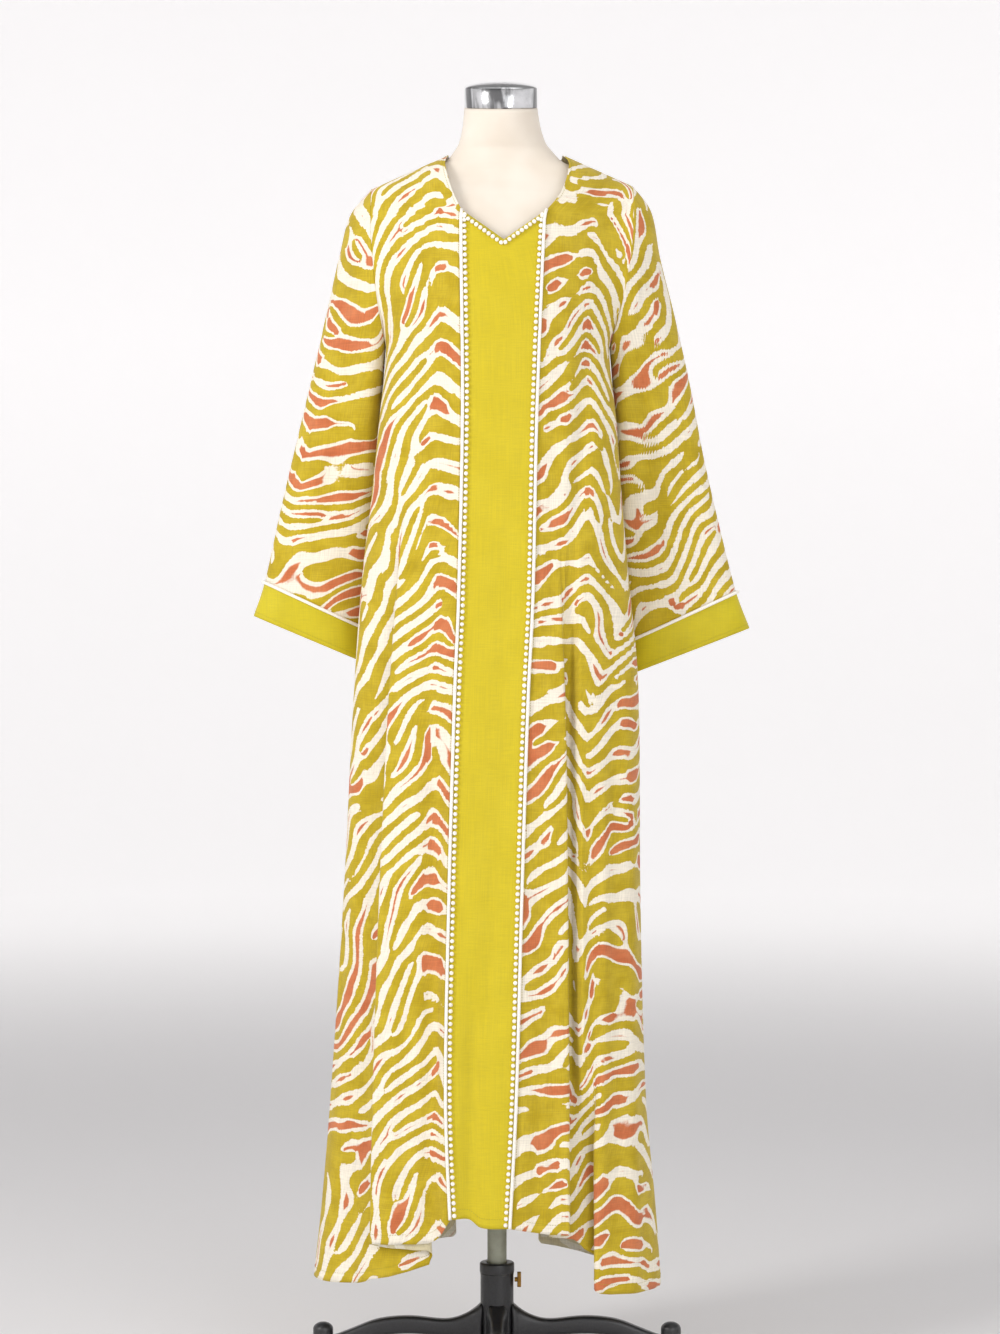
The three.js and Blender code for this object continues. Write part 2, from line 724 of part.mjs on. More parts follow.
// Turns faces given as triples of points into one geometry
class MeshBuilder {
  constructor() {
    this.places = [];
    this.faces = [];
  }

  addGrid(points) {
    const first = this.places.length;
    for (const line of points) this.places.push(...line);
    return (row, column) => first + row * points[0].length + column;
  }

  addQuad(a, b, c, d) {
    this.faces.push([a, b, c], [a, c, d]);
  }

  geometry() {
    const positions = new Float32Array(this.faces.length * 9);
    this.faces.flat().forEach((index, i) => this.places[index].toArray(positions, i * 3));
    const geometry = new THREE.BufferGeometry();
    geometry.setAttribute('position', new THREE.BufferAttribute(positions, 3));
    geometry.computeVertexNormals();
    return geometry;
  }
}

// A wall of cloth between two grids of points. A wrapped wall closes on itself.
function wallGeometry(outer, inner, wrapped) {
  const builder = new MeshBuilder();
  const o = builder.addGrid(outer);
  const i = builder.addGrid(inner);
  const rowCount = outer.length;
  const columnCount = outer[0].length;
  const spans = wrapped ? columnCount : columnCount - 1;
  for (let c = 0; c < spans; c += 1) {
    const next = (c + 1) % columnCount;
    for (let r = 0; r < rowCount - 1; r += 1) {
      builder.addQuad(o(r, c), o(r, next), o(r + 1, next), o(r + 1, c));
      builder.addQuad(i(r, c), i(r + 1, c), i(r + 1, next), i(r, next));
    }
    const top = rowCount - 1;
    builder.addQuad(o(0, c), i(0, c), i(0, next), o(0, next));
    builder.addQuad(o(top, c), o(top, next), i(top, next), i(top, c));
  }
  if (!wrapped) {
    const last = columnCount - 1;
    for (let r = 0; r < rowCount - 1; r += 1) {
      builder.addQuad(o(r, 0), o(r + 1, 0), i(r + 1, 0), i(r, 0));
      builder.addQuad(o(r, last), i(r, last), i(r + 1, last), o(r + 1, last));
    }
  }
  return builder.geometry();
}

function moveAlong(points, normals, distance) {
  return points.map((line, r) => line.map((p, c) => p.clone().addScaledVector(normals[r][c], distance)));
}

// Draws a panel's edges in by half a seam gap. A shoulder edge moves along Y,
// to the front (-1) or the back (1).
function drawInEdges(points, trimTop) {
  const last = points[0].length - 1;
  const trimmed = points.map((line) => line.map((p) => p.clone()));
  const half = SEAM_GAP / 2;
  points.forEach((line, r) => {
    trimmed[r][0].addScaledVector(line[1].clone().sub(line[0]).normalize(), half);
    trimmed[r][last].addScaledVector(line[last - 1].clone().sub(line[last]).normalize(), half);
  });
  if (trimTop !== 0) {
    const top = points.length - 1;
    trimmed[top].forEach((p) => { p.y += trimTop * half; });
  }
  return trimmed;
}

// Makes one body panel. Its top row meets the other panels at the shoulder.
function bodyPanel(panel, material) {
  const points = panelPoints(panel);
  const normals = panelNormals(panel, points);
  const trims = { front_right: -1, front_left: -1, centre_panel: 0, back: 1 };
  const outer = drawInEdges(points, trims[panel]);
  const inner = moveAlong(outer, normals, -WALL);
  const mesh = new THREE.Mesh(wallGeometry(outer, inner, false), material);
  mesh.name = panel;
  return mesh;
}

// A point of a sleeve: turn 0 on its inner edge, PI on its outer edge
function sleevePoint(side, turn, along) {
  const rows = SLEEVES[side];
  const outer = new THREE.Vector3(
    readTable(rows, 'along', 'outerX', along), 0, readTable(rows, 'along', 'outerZ', along));
  const inner = new THREE.Vector3(
    readTable(rows, 'along', 'innerX', along), 0, readTable(rows, 'along', 'innerZ', along));
  const middle = outer.clone().add(inner).multiplyScalar(0.5);
  const point = middle.clone().addScaledVector(inner.sub(middle), Math.cos(turn));
  const depth = readTable(rows, 'along', 'halfDepth', along) - sleeveCrease(side, turn, along);
  point.y = readTable(rows, 'along', 'centreY', along) - Math.sin(turn) * depth;
  return point;
}

function sleeveCrease(side, turn, along) {
  let depth = 0;
  const round = turn / (2 * Math.PI);
  for (const crease of SLEEVE_CREASES) {
    if (crease.side !== side) continue;
    const t = (along - crease.from) / (crease.to - crease.from);
    const fade = smoothStep(0, SLEEVE_FADE_IN, t) * (1 - smoothStep(...SLEEVE_FADE_OUT, t));
    depth += crease.depth * fade * Math.exp(-(((round - crease.round) / crease.width) ** 2));
  }
  return depth;
}

// Rows of a sleeve or cuff from one place along it to another
function sleeveRows(side, from, to, count) {
  const rows = [];
  for (let r = 0; r <= count; r += 1) {
    const along = mix(from, to, r / count);
    const line = [];
    for (let c = 0; c < SLEEVE_COLUMN_COUNT; c += 1) {
      const turn = 2 * Math.PI * c / SLEEVE_COLUMN_COUNT;
      const root = armholePoint(side, turn);
      root.x += side * SEAM_GAP;
      const point = sleevePoint(side, turn, along);
      const pull = Math.max(1 - along / ROOT_PULL, 0) ** 2;
      const offset = root.sub(sleevePoint(side, turn, 0));
      line.push(point.addScaledVector(offset, pull));
    }
    rows.push(line);
  }
  return rows;
}

// Outward directions of a sleeve's points at one place along it
function sleeveNormals(side, along, isRoot) {
  const [above, here, below] = sleeveRows(side, along - NORMAL_STEP, along + NORMAL_STEP, 2);
  const count = here.length;
  return here.map((point, c) => {
    const around = bisector(here[(c + count - 1) % count], point, here[(c + 1) % count]);
    const down = below[c].clone().sub(above[c]).normalize();
    const normal = around.cross(down).normalize().multiplyScalar(-side);
    if (!isRoot) return normal;
    const middle = (UNDERARM_HEIGHT + ARMHOLES[side].tipHeight) / 2;
    const radial = new THREE.Vector3(0, point.y, point.z - middle).normalize();
    const fromUnderarm = Math.min(c, count - c) / (count / 2);
    return radial.lerp(normal, 1 - smoothStep(0, UNDERARM_SHARE, fromUnderarm)).normalize();
  });
}

function tubeOfCloth(name, side, from, to, count, isRoot, material) {
  const outer = sleeveRows(side, from, to, count);
  const normals = outer.map((line, r) => (
    sleeveNormals(side, mix(from, to, r / count), isRoot && r === 0)));
  const inner = moveAlong(outer, normals, -WALL);
  const order = (grid) => (side === RIGHT ? grid.map((line) => [...line].reverse()) : grid);
  const upward = (grid) => [...order(grid)].reverse();
  const mesh = new THREE.Mesh(wallGeometry(upward(outer), upward(inner), true), material);
  mesh.name = name;
  return mesh;
}

// A cord of piping whose middle runs through the given points
function pipingGeometry(middles, ups, closed) {
  const builder = new MeshBuilder();
  const count = middles.length;
  const grid = middles.map((middle, i) => {
    const before = closed ? middles[(i + count - 1) % count] : middles[i - 1];
    const after = closed ? middles[(i + 1) % count] : middles[i + 1];
    const along = bisector(before, middle, after);
    const across = along.clone().cross(ups[i]).normalize();
    const out = across.clone().cross(along).normalize();
    const ring = [];
    for (let s = 0; s < PIPING_SIDES; s += 1) {
      const turn = 2 * Math.PI * (s + 0.5) / PIPING_SIDES;
      const point = middle.clone().addScaledVector(across, PIPING_RADIUS * Math.cos(turn));
      ring.push(point.addScaledVector(out, PIPING_RADIUS * Math.sin(turn)));
    }
    return ring;
  });
  const at = builder.addGrid(grid);
  const steps = closed ? count : count - 1;
  for (let i = 0; i < steps; i += 1) {
    const next = (i + 1) % count;
    for (let s = 0; s < PIPING_SIDES; s += 1) {
      const turn = (s + 1) % PIPING_SIDES;
      builder.addQuad(at(i, s), at(next, s), at(next, turn), at(i, turn));
    }
  }
  if (!closed) {
    for (let s = 1; s < PIPING_SIDES - 1; s += 1) {
      builder.faces.push([at(0, 0), at(0, s), at(0, s + 1)]);
      builder.faces.push([at(count - 1, 0), at(count - 1, s + 1), at(count - 1, s)]);
    }
  }
  return builder.geometry();
}

// Piping on the seam between the centre panel and a front
function seamPiping(name, panel) {
  const points = panelPoints('centre_panel');
  const normals = panelNormals('centre_panel', points);
  const column = panel === RIGHT ? 0 : points[0].length - 1;
  const lift = PIPING_RADIUS + PIPING_CLEARANCE;
  const ups = normals.map((line) => line[column]);
  const middles = points.map((line, r) => line[column].clone().addScaledVector(ups[r], lift));
  const mesh = new THREE.Mesh(pipingGeometry(middles, ups, false), whitePiping());
  mesh.name = name;
  return mesh;
}

// Piping round the top of a cuff
function cuffPiping(name, side) {
  const seam = sleeveRows(side, 1 - NORMAL_STEP, 1 + NORMAL_STEP, 2)[1];
  const normals = sleeveNormals(side, 1, false);
  const lift = PIPING_RADIUS + PIPING_CLEARANCE;
  const middles = seam.map((point, c) => point.clone().addScaledVector(normals[c], lift));
  const mesh = new THREE.Mesh(pipingGeometry(middles, normals, true), whitePiping());
  mesh.name = name;
  return mesh;
}

// A closed solid through horizontal rings of points
function loftGeometry(rows) {
  const builder = new MeshBuilder();
  const at = builder.addGrid(rows);
  const count = rows[0].length;
  const top = rows.length - 1;
  for (let c = 0; c < count; c += 1) {
    const next = (c + 1) % count;
    for (let r = 0; r < top; r += 1) {
      builder.addQuad(at(r, c), at(r, next), at(r + 1, next), at(r + 1, c));
    }
  }
  for (let c = 1; c < count - 1; c += 1) {
    builder.faces.push([at(0, 0), at(0, c + 1), at(0, c)]);
    builder.faces.push([at(top, 0), at(top, c), at(top, c + 1)]);
  }
  return builder.geometry();
}

function formTorso() {
  const rows = FORM_LEVELS.map((level) => {
    const line = [];
    const middle = (level.front + level.back) / 2;
    const halfDepth = (level.back - level.front) / 2;
    const neckTop = FORM_LEVELS[FORM_LEVELS.length - 1].height;
    const lean = Math.tan(CAP_TILT) * smoothStep(NECK_BASE_HEIGHT, neckTop, level.height);
    for (let c = 0; c < FORM_SIDES; c += 1) {
      const turn = 2 * Math.PI * c / FORM_SIDES;
      const x = level.centreX + level.halfWidth * Math.cos(turn);
      const y = halfDepth * Math.sin(turn);
      line.push(new THREE.Vector3(x, middle + y, level.height + lean * y));
    }
    return line;
  });
  const mesh = new THREE.Mesh(loftGeometry(rows), creamJersey());
  mesh.name = 'form_torso';
  return mesh;
}

// A round solid from a profile of [radius, height] pairs that starts and ends
// on its axis, standing along +Z
function turned(profile) {
  const points = profile.map(([radius, height]) => new THREE.Vector2(radius, height));
  const geometry = new THREE.LatheGeometry(points, ROUND_SIDES);
  geometry.rotateX(Math.PI / 2);
  return geometry;
}

function neckCap() {
  const geometry = turned([
    [0, 0],
    [CAP_RADIUS - CAP_EDGE, 0],
    [CAP_RADIUS, CAP_EDGE],
    [CAP_RADIUS, CAP_HEIGHT - CAP_EDGE],
    [CAP_RADIUS - CAP_EDGE, CAP_HEIGHT],
    [CAP_RADIUS / 2, CAP_HEIGHT + CAP_DOME * 0.75],
    [0, CAP_HEIGHT + CAP_DOME],
  ]);
  const neck = FORM_LEVELS[FORM_LEVELS.length - 1];
  const mesh = new THREE.Mesh(geometry, chrome());
  mesh.rotation.x = CAP_TILT;
  const bottom = neck.height + SEAT_GAP / Math.cos(CAP_TILT);
  mesh.position.set(neck.centreX, (neck.front + neck.back) / 2, bottom);
  mesh.name = 'neck_cap';
  return mesh;
}

function pole() {
  const top = FORM_LEVELS[0].height - SEAT_GAP;
  const mesh = new THREE.Mesh(turned([
    [0, POLE_BOTTOM],
    [POLE_RADIUS, POLE_BOTTOM],
    [POLE_RADIUS, top - FLANGE_THICKNESS],
    [FLANGE_RADIUS, top - FLANGE_THICKNESS],
    [FLANGE_RADIUS, top],
    [0, top],
  ]), steel());
  mesh.name = 'pole';
  return mesh;
}

function hub() {
  const bore = POLE_RADIUS + HUB_WALL_GAP;
  const mesh = new THREE.Mesh(turned([
    [0, HUB_BOTTOM],
    [HUB_RADIUS, HUB_BOTTOM],
    [HUB_RADIUS, HUB_TOP - HUB_CHAMFER],
    [HUB_RADIUS - HUB_CHAMFER, HUB_TOP],
    [bore, HUB_TOP],
    [bore, HUB_FLOOR],
    [0, HUB_FLOOR],
  ]), blackIron());
  mesh.name = 'stand_hub';
  return mesh;
}

// One bowed leg, from just outside the hub to just inside its post
function leg(name, turn) {
  const start = HUB_RADIUS + SEAM_GAP;
  const end = LEG_REACH - POST_RADIUS - SEAM_GAP;
  const shape = new THREE.Shape();
  for (let i = 0; i <= LEG_STEPS; i += 1) {
    const reach = mix(start, end, i / LEG_STEPS);
    const height = readTable(LEG_PROFILE, 'reach', 'top', reach);
    if (i === 0) shape.moveTo(reach, height);
    else shape.lineTo(reach, height);
  }
  for (let i = LEG_STEPS; i >= 0; i -= 1) {
    const reach = mix(start, end, i / LEG_STEPS);
    shape.lineTo(reach, readTable(LEG_PROFILE, 'reach', 'bottom', reach));
  }
  const geometry = new THREE.ExtrudeGeometry(shape, { depth: 2 * LEG_HALF_WIDTH, bevelEnabled: false });
  geometry.translate(0, 0, -LEG_HALF_WIDTH);
  geometry.rotateX(Math.PI / 2);
  geometry.rotateZ(turn);
  const mesh = new THREE.Mesh(geometry, blackIron());
  mesh.name = name;
  return mesh;
}

// The round-topped post that a leg ends in
function footPost(name, turn) {
  const mesh = new THREE.Mesh(turned([
    [0, 0],
    [POST_RADIUS, 0],
    [POST_RADIUS, POST_TOP - POST_SHOULDER],
    [POST_RADIUS * 0.8, POST_TOP - POST_SHOULDER * 0.4],
    [POST_RADIUS * 0.45, POST_TOP - POST_SHOULDER * 0.1],
    [0, POST_TOP],
  ]), blackIron());
  mesh.position.set(LEG_REACH * Math.cos(turn), LEG_REACH * Math.sin(turn), 0);
  mesh.name = name;
  return mesh;
}

// The screw that clamps the pole, on the hub's +X side
function thumbScrew() {
  const geometry = turned([
    [0, 0],
    [SCREW_SHANK_RADIUS, 0],
    [SCREW_SHANK_RADIUS, SCREW_SHANK_LENGTH],
    [SCREW_HEAD_RADIUS, SCREW_SHANK_LENGTH],
    [SCREW_HEAD_RADIUS, SCREW_SHANK_LENGTH + SCREW_HEAD_LENGTH],
    [0, SCREW_SHANK_LENGTH + SCREW_HEAD_LENGTH],
  ]);
  geometry.rotateY(Math.PI / 2);
  const mesh = new THREE.Mesh(geometry, brass());
  mesh.position.set(HUB_RADIUS + SEAT_GAP, 0, SCREW_HEIGHT);
  mesh.name = 'thumb_screw';
  return mesh;
}

function garment() {
  const pieces = new THREE.Group();
  for (const panel of ['front_right', 'front_left', 'back']) {
    pieces.add(bodyPanel(panel, printedCloth()));
  }
  pieces.add(bodyPanel('centre_panel', limeCloth()));
  pieces.add(seamPiping('panel_piping_right', RIGHT));
  pieces.add(seamPiping('panel_piping_left', LEFT));
  for (const [side, word] of [[RIGHT, 'right'], [LEFT, 'left']]) {
    pieces.add(tubeOfCloth(`sleeve_${word}`, side, 0, 1 - CUFF_GAP, SLEEVE_ROWS, true, printedCloth()));
    pieces.add(tubeOfCloth(`cuff_${word}`, side, 1, CUFF_END, CUFF_ROWS, false, limeCloth()));
    pieces.add(cuffPiping(`cuff_piping_${word}`, side));
  }
  return pieces;
}

function dressForm() {
  const pieces = new THREE.Group();
  pieces.add(formTorso());
  pieces.add(neckCap());
  pieces.add(pole());
  pieces.add(hub());
  pieces.add(thumbScrew());
  const directions = ['left', 'back', 'right', 'front'];
  directions.forEach((word, i) => {
    pieces.add(leg(`leg_${word}`, i * Math.PI / 2));
    pieces.add(footPost(`foot_${word}`, i * Math.PI / 2));
  });
  return pieces;
}

const group = new THREE.Group();
group.add(garment());
group.add(dressForm());

export default group;
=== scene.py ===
import math

import bpy
import numpy as np
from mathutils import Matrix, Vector


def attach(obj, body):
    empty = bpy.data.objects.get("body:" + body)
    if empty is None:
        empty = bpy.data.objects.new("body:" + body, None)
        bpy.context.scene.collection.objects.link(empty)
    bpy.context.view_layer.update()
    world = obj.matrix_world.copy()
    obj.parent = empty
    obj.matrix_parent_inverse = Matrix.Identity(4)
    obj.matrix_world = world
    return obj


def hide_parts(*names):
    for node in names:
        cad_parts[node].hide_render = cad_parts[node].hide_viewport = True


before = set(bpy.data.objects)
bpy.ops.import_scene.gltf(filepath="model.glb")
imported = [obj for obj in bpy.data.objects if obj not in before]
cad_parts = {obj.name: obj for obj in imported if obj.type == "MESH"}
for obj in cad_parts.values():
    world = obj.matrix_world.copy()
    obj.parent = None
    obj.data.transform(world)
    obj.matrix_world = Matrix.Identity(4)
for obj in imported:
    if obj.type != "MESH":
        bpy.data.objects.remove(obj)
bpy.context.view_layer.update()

# Sizes are in millimetres, as in the CAD part, and meshes are made in metres.
MM = 0.001

# The camera, level, as the photograph was taken
CAMERA_PLACE = (0.0039, -4.0, 0.92)
PIXEL_SIZE = 1.3
PHOTO_HEIGHT = 1334
SENSOR_HEIGHT = 36

# The body's sizes, as in the CAD part
SEAM_GAP = 0.36
UNDERARM = 1335
SHOULDER_Y = 8
YOKE_ROWS = 10
CORNER_ROW = 7
FRONT_ROUNDNESS = 2.3
BACK_ROUNDNESS = 2.05
FOLD_RADIUS = 5
FLAT_FOLD_HALF_WIDTH = 16
PIPING_RADIUS = 2.1
PIPING_CLEARANCE = 0.3
RIGHT = -1
LEFT = 1
SIDE_WORDS = {RIGHT: "right", LEFT: "left"}
CLOTH_THICKNESS = 1.0

# How finely the scene's cloth is divided
SKIRT_STEPS = 200
YOKE_FINE = 4
RING_LOW = 110
RING_STEP = 5
RING_TURNS = 720
RING_PLACES = 1440


def table(names, rows):
    """Rows of numbers as named columns."""
    return dict(zip(names, np.array(rows, float).T))


BODY_LEVELS = table(["height", "rightSide", "leftSide", "front", "back", "sideY"], [
    [120, -238, 212, -168, 170, -30], [230, -226, 204, -163, 163, -32], [362, -215, 192, -157, 154, -34],
    [620, -198, 184, -146, 138, -36], [893, -184, 182, -134, 126, -38], [1042, -173, 169, -126, 120, -38],
    [1135, -162, 161, -121, 113, -36], [1238, -152, 154, -119, 106, -28],
    [1335, -144, 145.5, -118, 100, -6], [1432, -152, 154, -119, 106, -28],
])

PANEL_SEAMS = table(["height", "right", "left"], [
    [200, -57, 15], [377, -64, 24], [628, -60, 31], [879, -53, 39], [1005, -48, 45], [1257, -43, 50.5],
    [1490, -45.5, 60], [1503, -44.6, 63],
])
NECK_CORNER = 1502
NECK_TIP = 1462

NECKLINE = table(["height", "right", "left"], [
    [1502, -44.6, 63], [1527, -56, 81.8], [1570, -67, 93], [1586, -63, 85],
])
NECK_TOP = 1586
BACK_NECK_DIP = 18
NECK_MIDDLE_X = 10

ARMHOLES = {
    RIGHT: dict(underX=-144, tipX=-163, tipHeight=1542, front=52, back=47, bow=-6),
    LEFT: dict(underX=145.5, tipX=176.5, tipHeight=1546, front=52, back=47, bow=10),
}

# How narrow the strip is that the armhole draws forward or back
FRONT_PULL_POWER = 3
BACK_PULL_POWER = 4
SEAM_FADE = 14
SMOOTH_REACH = 9
SMOOTH_ROUNDS = 30
UNDERARM_PULL_POWER = 14
UNDERARM_PULL_FADE = 7

HEMS = {
    "front_right": table(["along", "height"], [
        [0, 137], [0.2, 139], [0.28, 150], [0.36, 176], [0.5, 190], [0.68, 196], [0.85, 206], [1, 229],
    ]),
    "centre_panel": table(["along", "height"], [[0, 230], [0.3, 230], [0.5, 220], [1, 219]]),
    "front_left": table(["along", "height"], [
        [0, 219], [0.15, 211], [0.35, 206], [0.5, 196], [0.68, 152], [0.78, 136], [1, 127],
    ]),
    "back": table(["along", "height"], [
        [0, 127], [0.12, 136], [0.35, 190], [0.5, 213], [0.65, 194], [0.88, 146], [1, 137],
    ]),
}

# Folds whose edge laps over the cloth beside it
FOLD_HIGH = 1200
FOLD_MIDDLE = 690
FOLD_LOW = 190
FOLDS = {
    "front_right": [
        dict(looks=RIGHT, high=-118, middle=-148.5, low=-162, starts=1230, full=860, overlap=74),
    ],
    "centre_panel": [],
    "front_left": [
        dict(looks=LEFT, high=83, middle=90, low=93, starts=1150, full=820, overlap=20),
        dict(looks=RIGHT, high=120, middle=122, low=124, starts=460, full=300, overlap=12),
    ],
    "back": [
        dict(looks=LEFT, high=92, middle=104, low=116, starts=1120, full=760, overlap=52),
        dict(looks=RIGHT, high=-88, middle=-100, low=-110, starts=1180, full=840, overlap=46),
    ],
}
PANEL_SPANS = {"front_right": [4, 4], "centre_panel": [8], "front_left": [4, 2, 4], "back": [4, 8, 4]}
# How many columns stand for one of the CAD part's in each span
SPAN_FINES = {"front_right": [7, 10], "centre_panel": [4], "front_left": [6, 6, 10], "back": [11, 4, 10]}

# Where a fold's path is divided: its number runs 0 to 7 as in the CAD part
FOLD_STEPS = np.concatenate(
    [
        np.linspace(0, 1, 4)[:-1],
        np.linspace(1, 3, 9)[:-1],
        np.linspace(3, 4, 9)[:-1],
        np.linspace(4, 6, 9)[:-1],
        np.linspace(6, 7, 13),
    ]
)
FOLD_LAST = 7

# Soft troughs (positive depth) and ridges (negative depth)
CREASE_COLUMNS = ["on_back", "high", "low", "top", "bottom", "depth", "width"]
SOFT_CREASES = [
    [0, -80, -86, 1100, 150, 7, 15], [0, -112, -118, 1440, 1180, 6, 13], [0, 120, 106, 1400, 1130, 6, 13],
    [0, 164, 171, 1000, 150, -4, 12], [0, -28, -33, 560, 150, 5, 13], [0, 58, 52, 900, 150, 3, 15],
    [0, -186, -205, 700, 80, 6, 17], [1, 4, -8, 1240, 150, 8, 18], [1, 48, 56, 900, 150, 5, 15],
    [1, -46, -54, 1020, 150, 6, 16], [1, 168, 182, 760, 80, 6, 16], [1, -160, -186, 820, 80, 6, 16],
]
# How much deeper they are below the dress form
LOW_CREASES_DEEPER = 0.5
# Finer ones that only the scene has
FINE_CREASES = [
    [0, -92, -104, 1420, 1040, 2.6, 10], [0, -66, -74, 900, 420, 2.2, 11],
    [0, -104, -118, 760, 210, 2.4, 10], [0, -128, -136, 640, 200, -2.2, 9],
    [0, 76, 70, 1330, 980, 2.4, 11], [0, 96, 104, 900, 500, -2.0, 10], [0, 66, 74, 620, 230, 2.4, 9],
    [0, 142, 150, 1240, 760, 2.6, 12], [0, 136, 134, 900, 300, -2.0, 9], [0, -6, -14, 760, 260, 1.6, 12],
    [0, 14, 4, 1180, 700, 1.4, 14], [0, -170, -182, 880, 320, 2.6, 12], [1, 26, 30, 1320, 900, 3.0, 13],
    [1, -24, -34, 1380, 980, 2.6, 12], [1, 84, 96, 1180, 720, 2.4, 12],
    [1, -96, -110, 1120, 620, 2.6, 12], [1, 128, 140, 1000, 420, 2.6, 12],
    [1, -132, -146, 1060, 460, 2.4, 12], [1, 12, 8, 640, 190, -3.0, 12],
]

SLEEVE_COLUMNS = ["along", "outerX", "outerZ", "innerX", "innerZ", "halfDepth", "centreY"]
SLEEVES = {
    RIGHT: table(SLEEVE_COLUMNS, [
        [0, -163, 1542, -144, 1335, 50, 0], [0.12, -191, 1508, -147, 1300, 50, 7],
        [0.25, -205, 1458, -151, 1255, 47, 13], [0.4, -224, 1376, -155, 1195, 41, 20],
        [0.55, -243, 1296, -159, 1132, 36, 26], [0.7, -263, 1213, -163, 1070, 32, 30],
        [0.85, -284, 1124, -168, 1015, 30, 32], [1, -304.5, 1031, -174, 970, 28, 33],
        [1.1, -319, 987, -171.5, 925, 28, 33],
    ]),
    LEFT: table(SLEEVE_COLUMNS, [
        [0, 176.5, 1546, 145.5, 1335, 50, 0], [0.12, 201, 1512, 149, 1300, 50, 7],
        [0.25, 213, 1452, 153, 1250, 47, 13], [0.4, 233, 1374, 157, 1190, 41, 20],
        [0.55, 253, 1286, 161, 1125, 36, 26], [0.7, 271, 1193, 165, 1062, 32, 30],
        [0.85, 293, 1098, 169, 1005, 30, 32], [1, 313.5, 1018, 173, 953, 28, 33],
        [1.1, 331, 971, 170.5, 909, 28, 33],
    ]),
}
SLEEVE_AROUND = 96
SLEEVE_STEPS = 104
CUFF_STEPS = 14
CUFF_END = 1.1
SLEEVE_LENGTH = 600
CUFF_GAP = SEAM_GAP / SLEEVE_LENGTH
ROOT_PULL = 0.3

# Creases down each sleeve: where round it, from and to along it
SLEEVE_CREASE_COLUMNS = ["side", "round", "from", "to", "depth", "width", "drift"]
SLEEVE_CREASES = [
    [RIGHT, 0.26, 0.2, 0.9, 7, 0.05, 0], [RIGHT, 0.36, 0.15, 0.6, 4, 0.05, 0],
    [RIGHT, 0.72, 0.25, 0.95, 6, 0.05, 0], [RIGHT, 0.16, 0.3, 1.0, 2.6, 0.035, 0.04],
    [RIGHT, 0.42, 0.5, 1.05, 2.0, 0.03, -0.03], [RIGHT, 0.31, 0.5, 1.05, -2.0, 0.03, 0.03],
    [RIGHT, 0.6, 0.15, 0.7, 3.0, 0.04, 0.05], [RIGHT, 0.86, 0.2, 0.8, 2.6, 0.04, 0],
    [LEFT, 0.21, 0.15, 0.85, 7, 0.05, 0], [LEFT, 0.34, 0.4, 0.95, 5, 0.05, 0],
    [LEFT, 0.7, 0.2, 0.9, 6, 0.05, 0], [LEFT, 0.28, 0.1, 0.6, 2.6, 0.035, 0.04],
    [LEFT, 0.14, 0.4, 1.05, 2.2, 0.035, -0.03], [LEFT, 0.42, 0.2, 0.8, 2.4, 0.03, 0.02],
    [LEFT, 0.59, 0.2, 0.8, 3.0, 0.04, -0.04], [LEFT, 0.84, 0.3, 0.95, 2.6, 0.04, 0],
]

FORM_LEVELS = table(["height", "centreX", "halfWidth", "front", "back"], [
    [800, 0, 150, -84, 72], [806, 0, 158, -92, 80], [870, 0, 161, -98, 84], [960, 0, 152, -94, 80],
    [1060, 0, 124, -84, 70], [1180, 0, 130, -98, 68], [1270, 1, 134, -106, 72], [1335, 2, 136, -104, 74],
    [1400, 4, 142, -98, 72], [1460, 6, 150, -86, 64], [1500, 6, 152, -72, 54], [1530, 7, 148, -56, 44],
    [1546, 8, 136, -44, 37], [1562, 9, 108, -38, 34], [1575, 9, 78, -38, 35], [1590, 8, 64, -38, 39],
    [1600, 7, 57, -42, 42], [1620, 6, 51, -47, 44], [1646, 5, 47.5, -51, 44],
])
NECK_BASE = 1575
NECK_END = 1646
CAP_TILT = math.radians(12)
CAP_RADIUS = 47.3
CAP_HEIGHT = 25
CAP_DOME = 9
SEAT_GAP = 0.3

POLE_RADIUS = 12.5
POLE_BOTTOM = 52
FLANGE_RADIUS = 55
FLANGE_THICKNESS = 6
HUB_RADIUS = 22.5
HUB_TOP = 147
HUB_BOTTOM = 18
HUB_FLOOR = 30
HUB_WALL_GAP = 0.4
LEG_HALF_WIDTH = 9
LEG_REACH = 226
POST_RADIUS = 13
POST_TOP = 69
LEG_PROFILE = table(["reach", "top", "bottom"], [
    [20, 90, 44], [34, 82, 46], [62, 73, 50], [114, 77, 54], [156, 73, 50], [185, 62, 39], [226, 46, 24],
])
SCREW_HEIGHT = 124
SCREW_SHANK_RADIUS = 3
SCREW_SHANK_LENGTH = 3.5
SCREW_HEAD_RADIUS = 9.5
SCREW_HEAD_LENGTH = 5
POST_DOME = 9
ARM_STATIONS = 60
ARM_SIDES = 28
ARM_ROUNDNESS = 0.55
ARM_FLARE = 5
ARM_FLARE_LENGTH = 9

# Pearls
PEARL_RADIUS = 2.8
PEARL_PITCH = 7.9
PEARL_INSET = 5.4
PEARL_NECK_DROP = 7.4
PEARL_NECK_PITCH = 6.6
PEARL_END = 5

# Stitches
STITCH_PITCH = 3.2
STITCH_LENGTH = 2.4
THREAD_RADIUS = 0.3
HEM_DEPTH = 12
EDGE_INSET = 3.5
CUFF_HEM = 6
BACK_NECK_HALF_WIDTH = 62


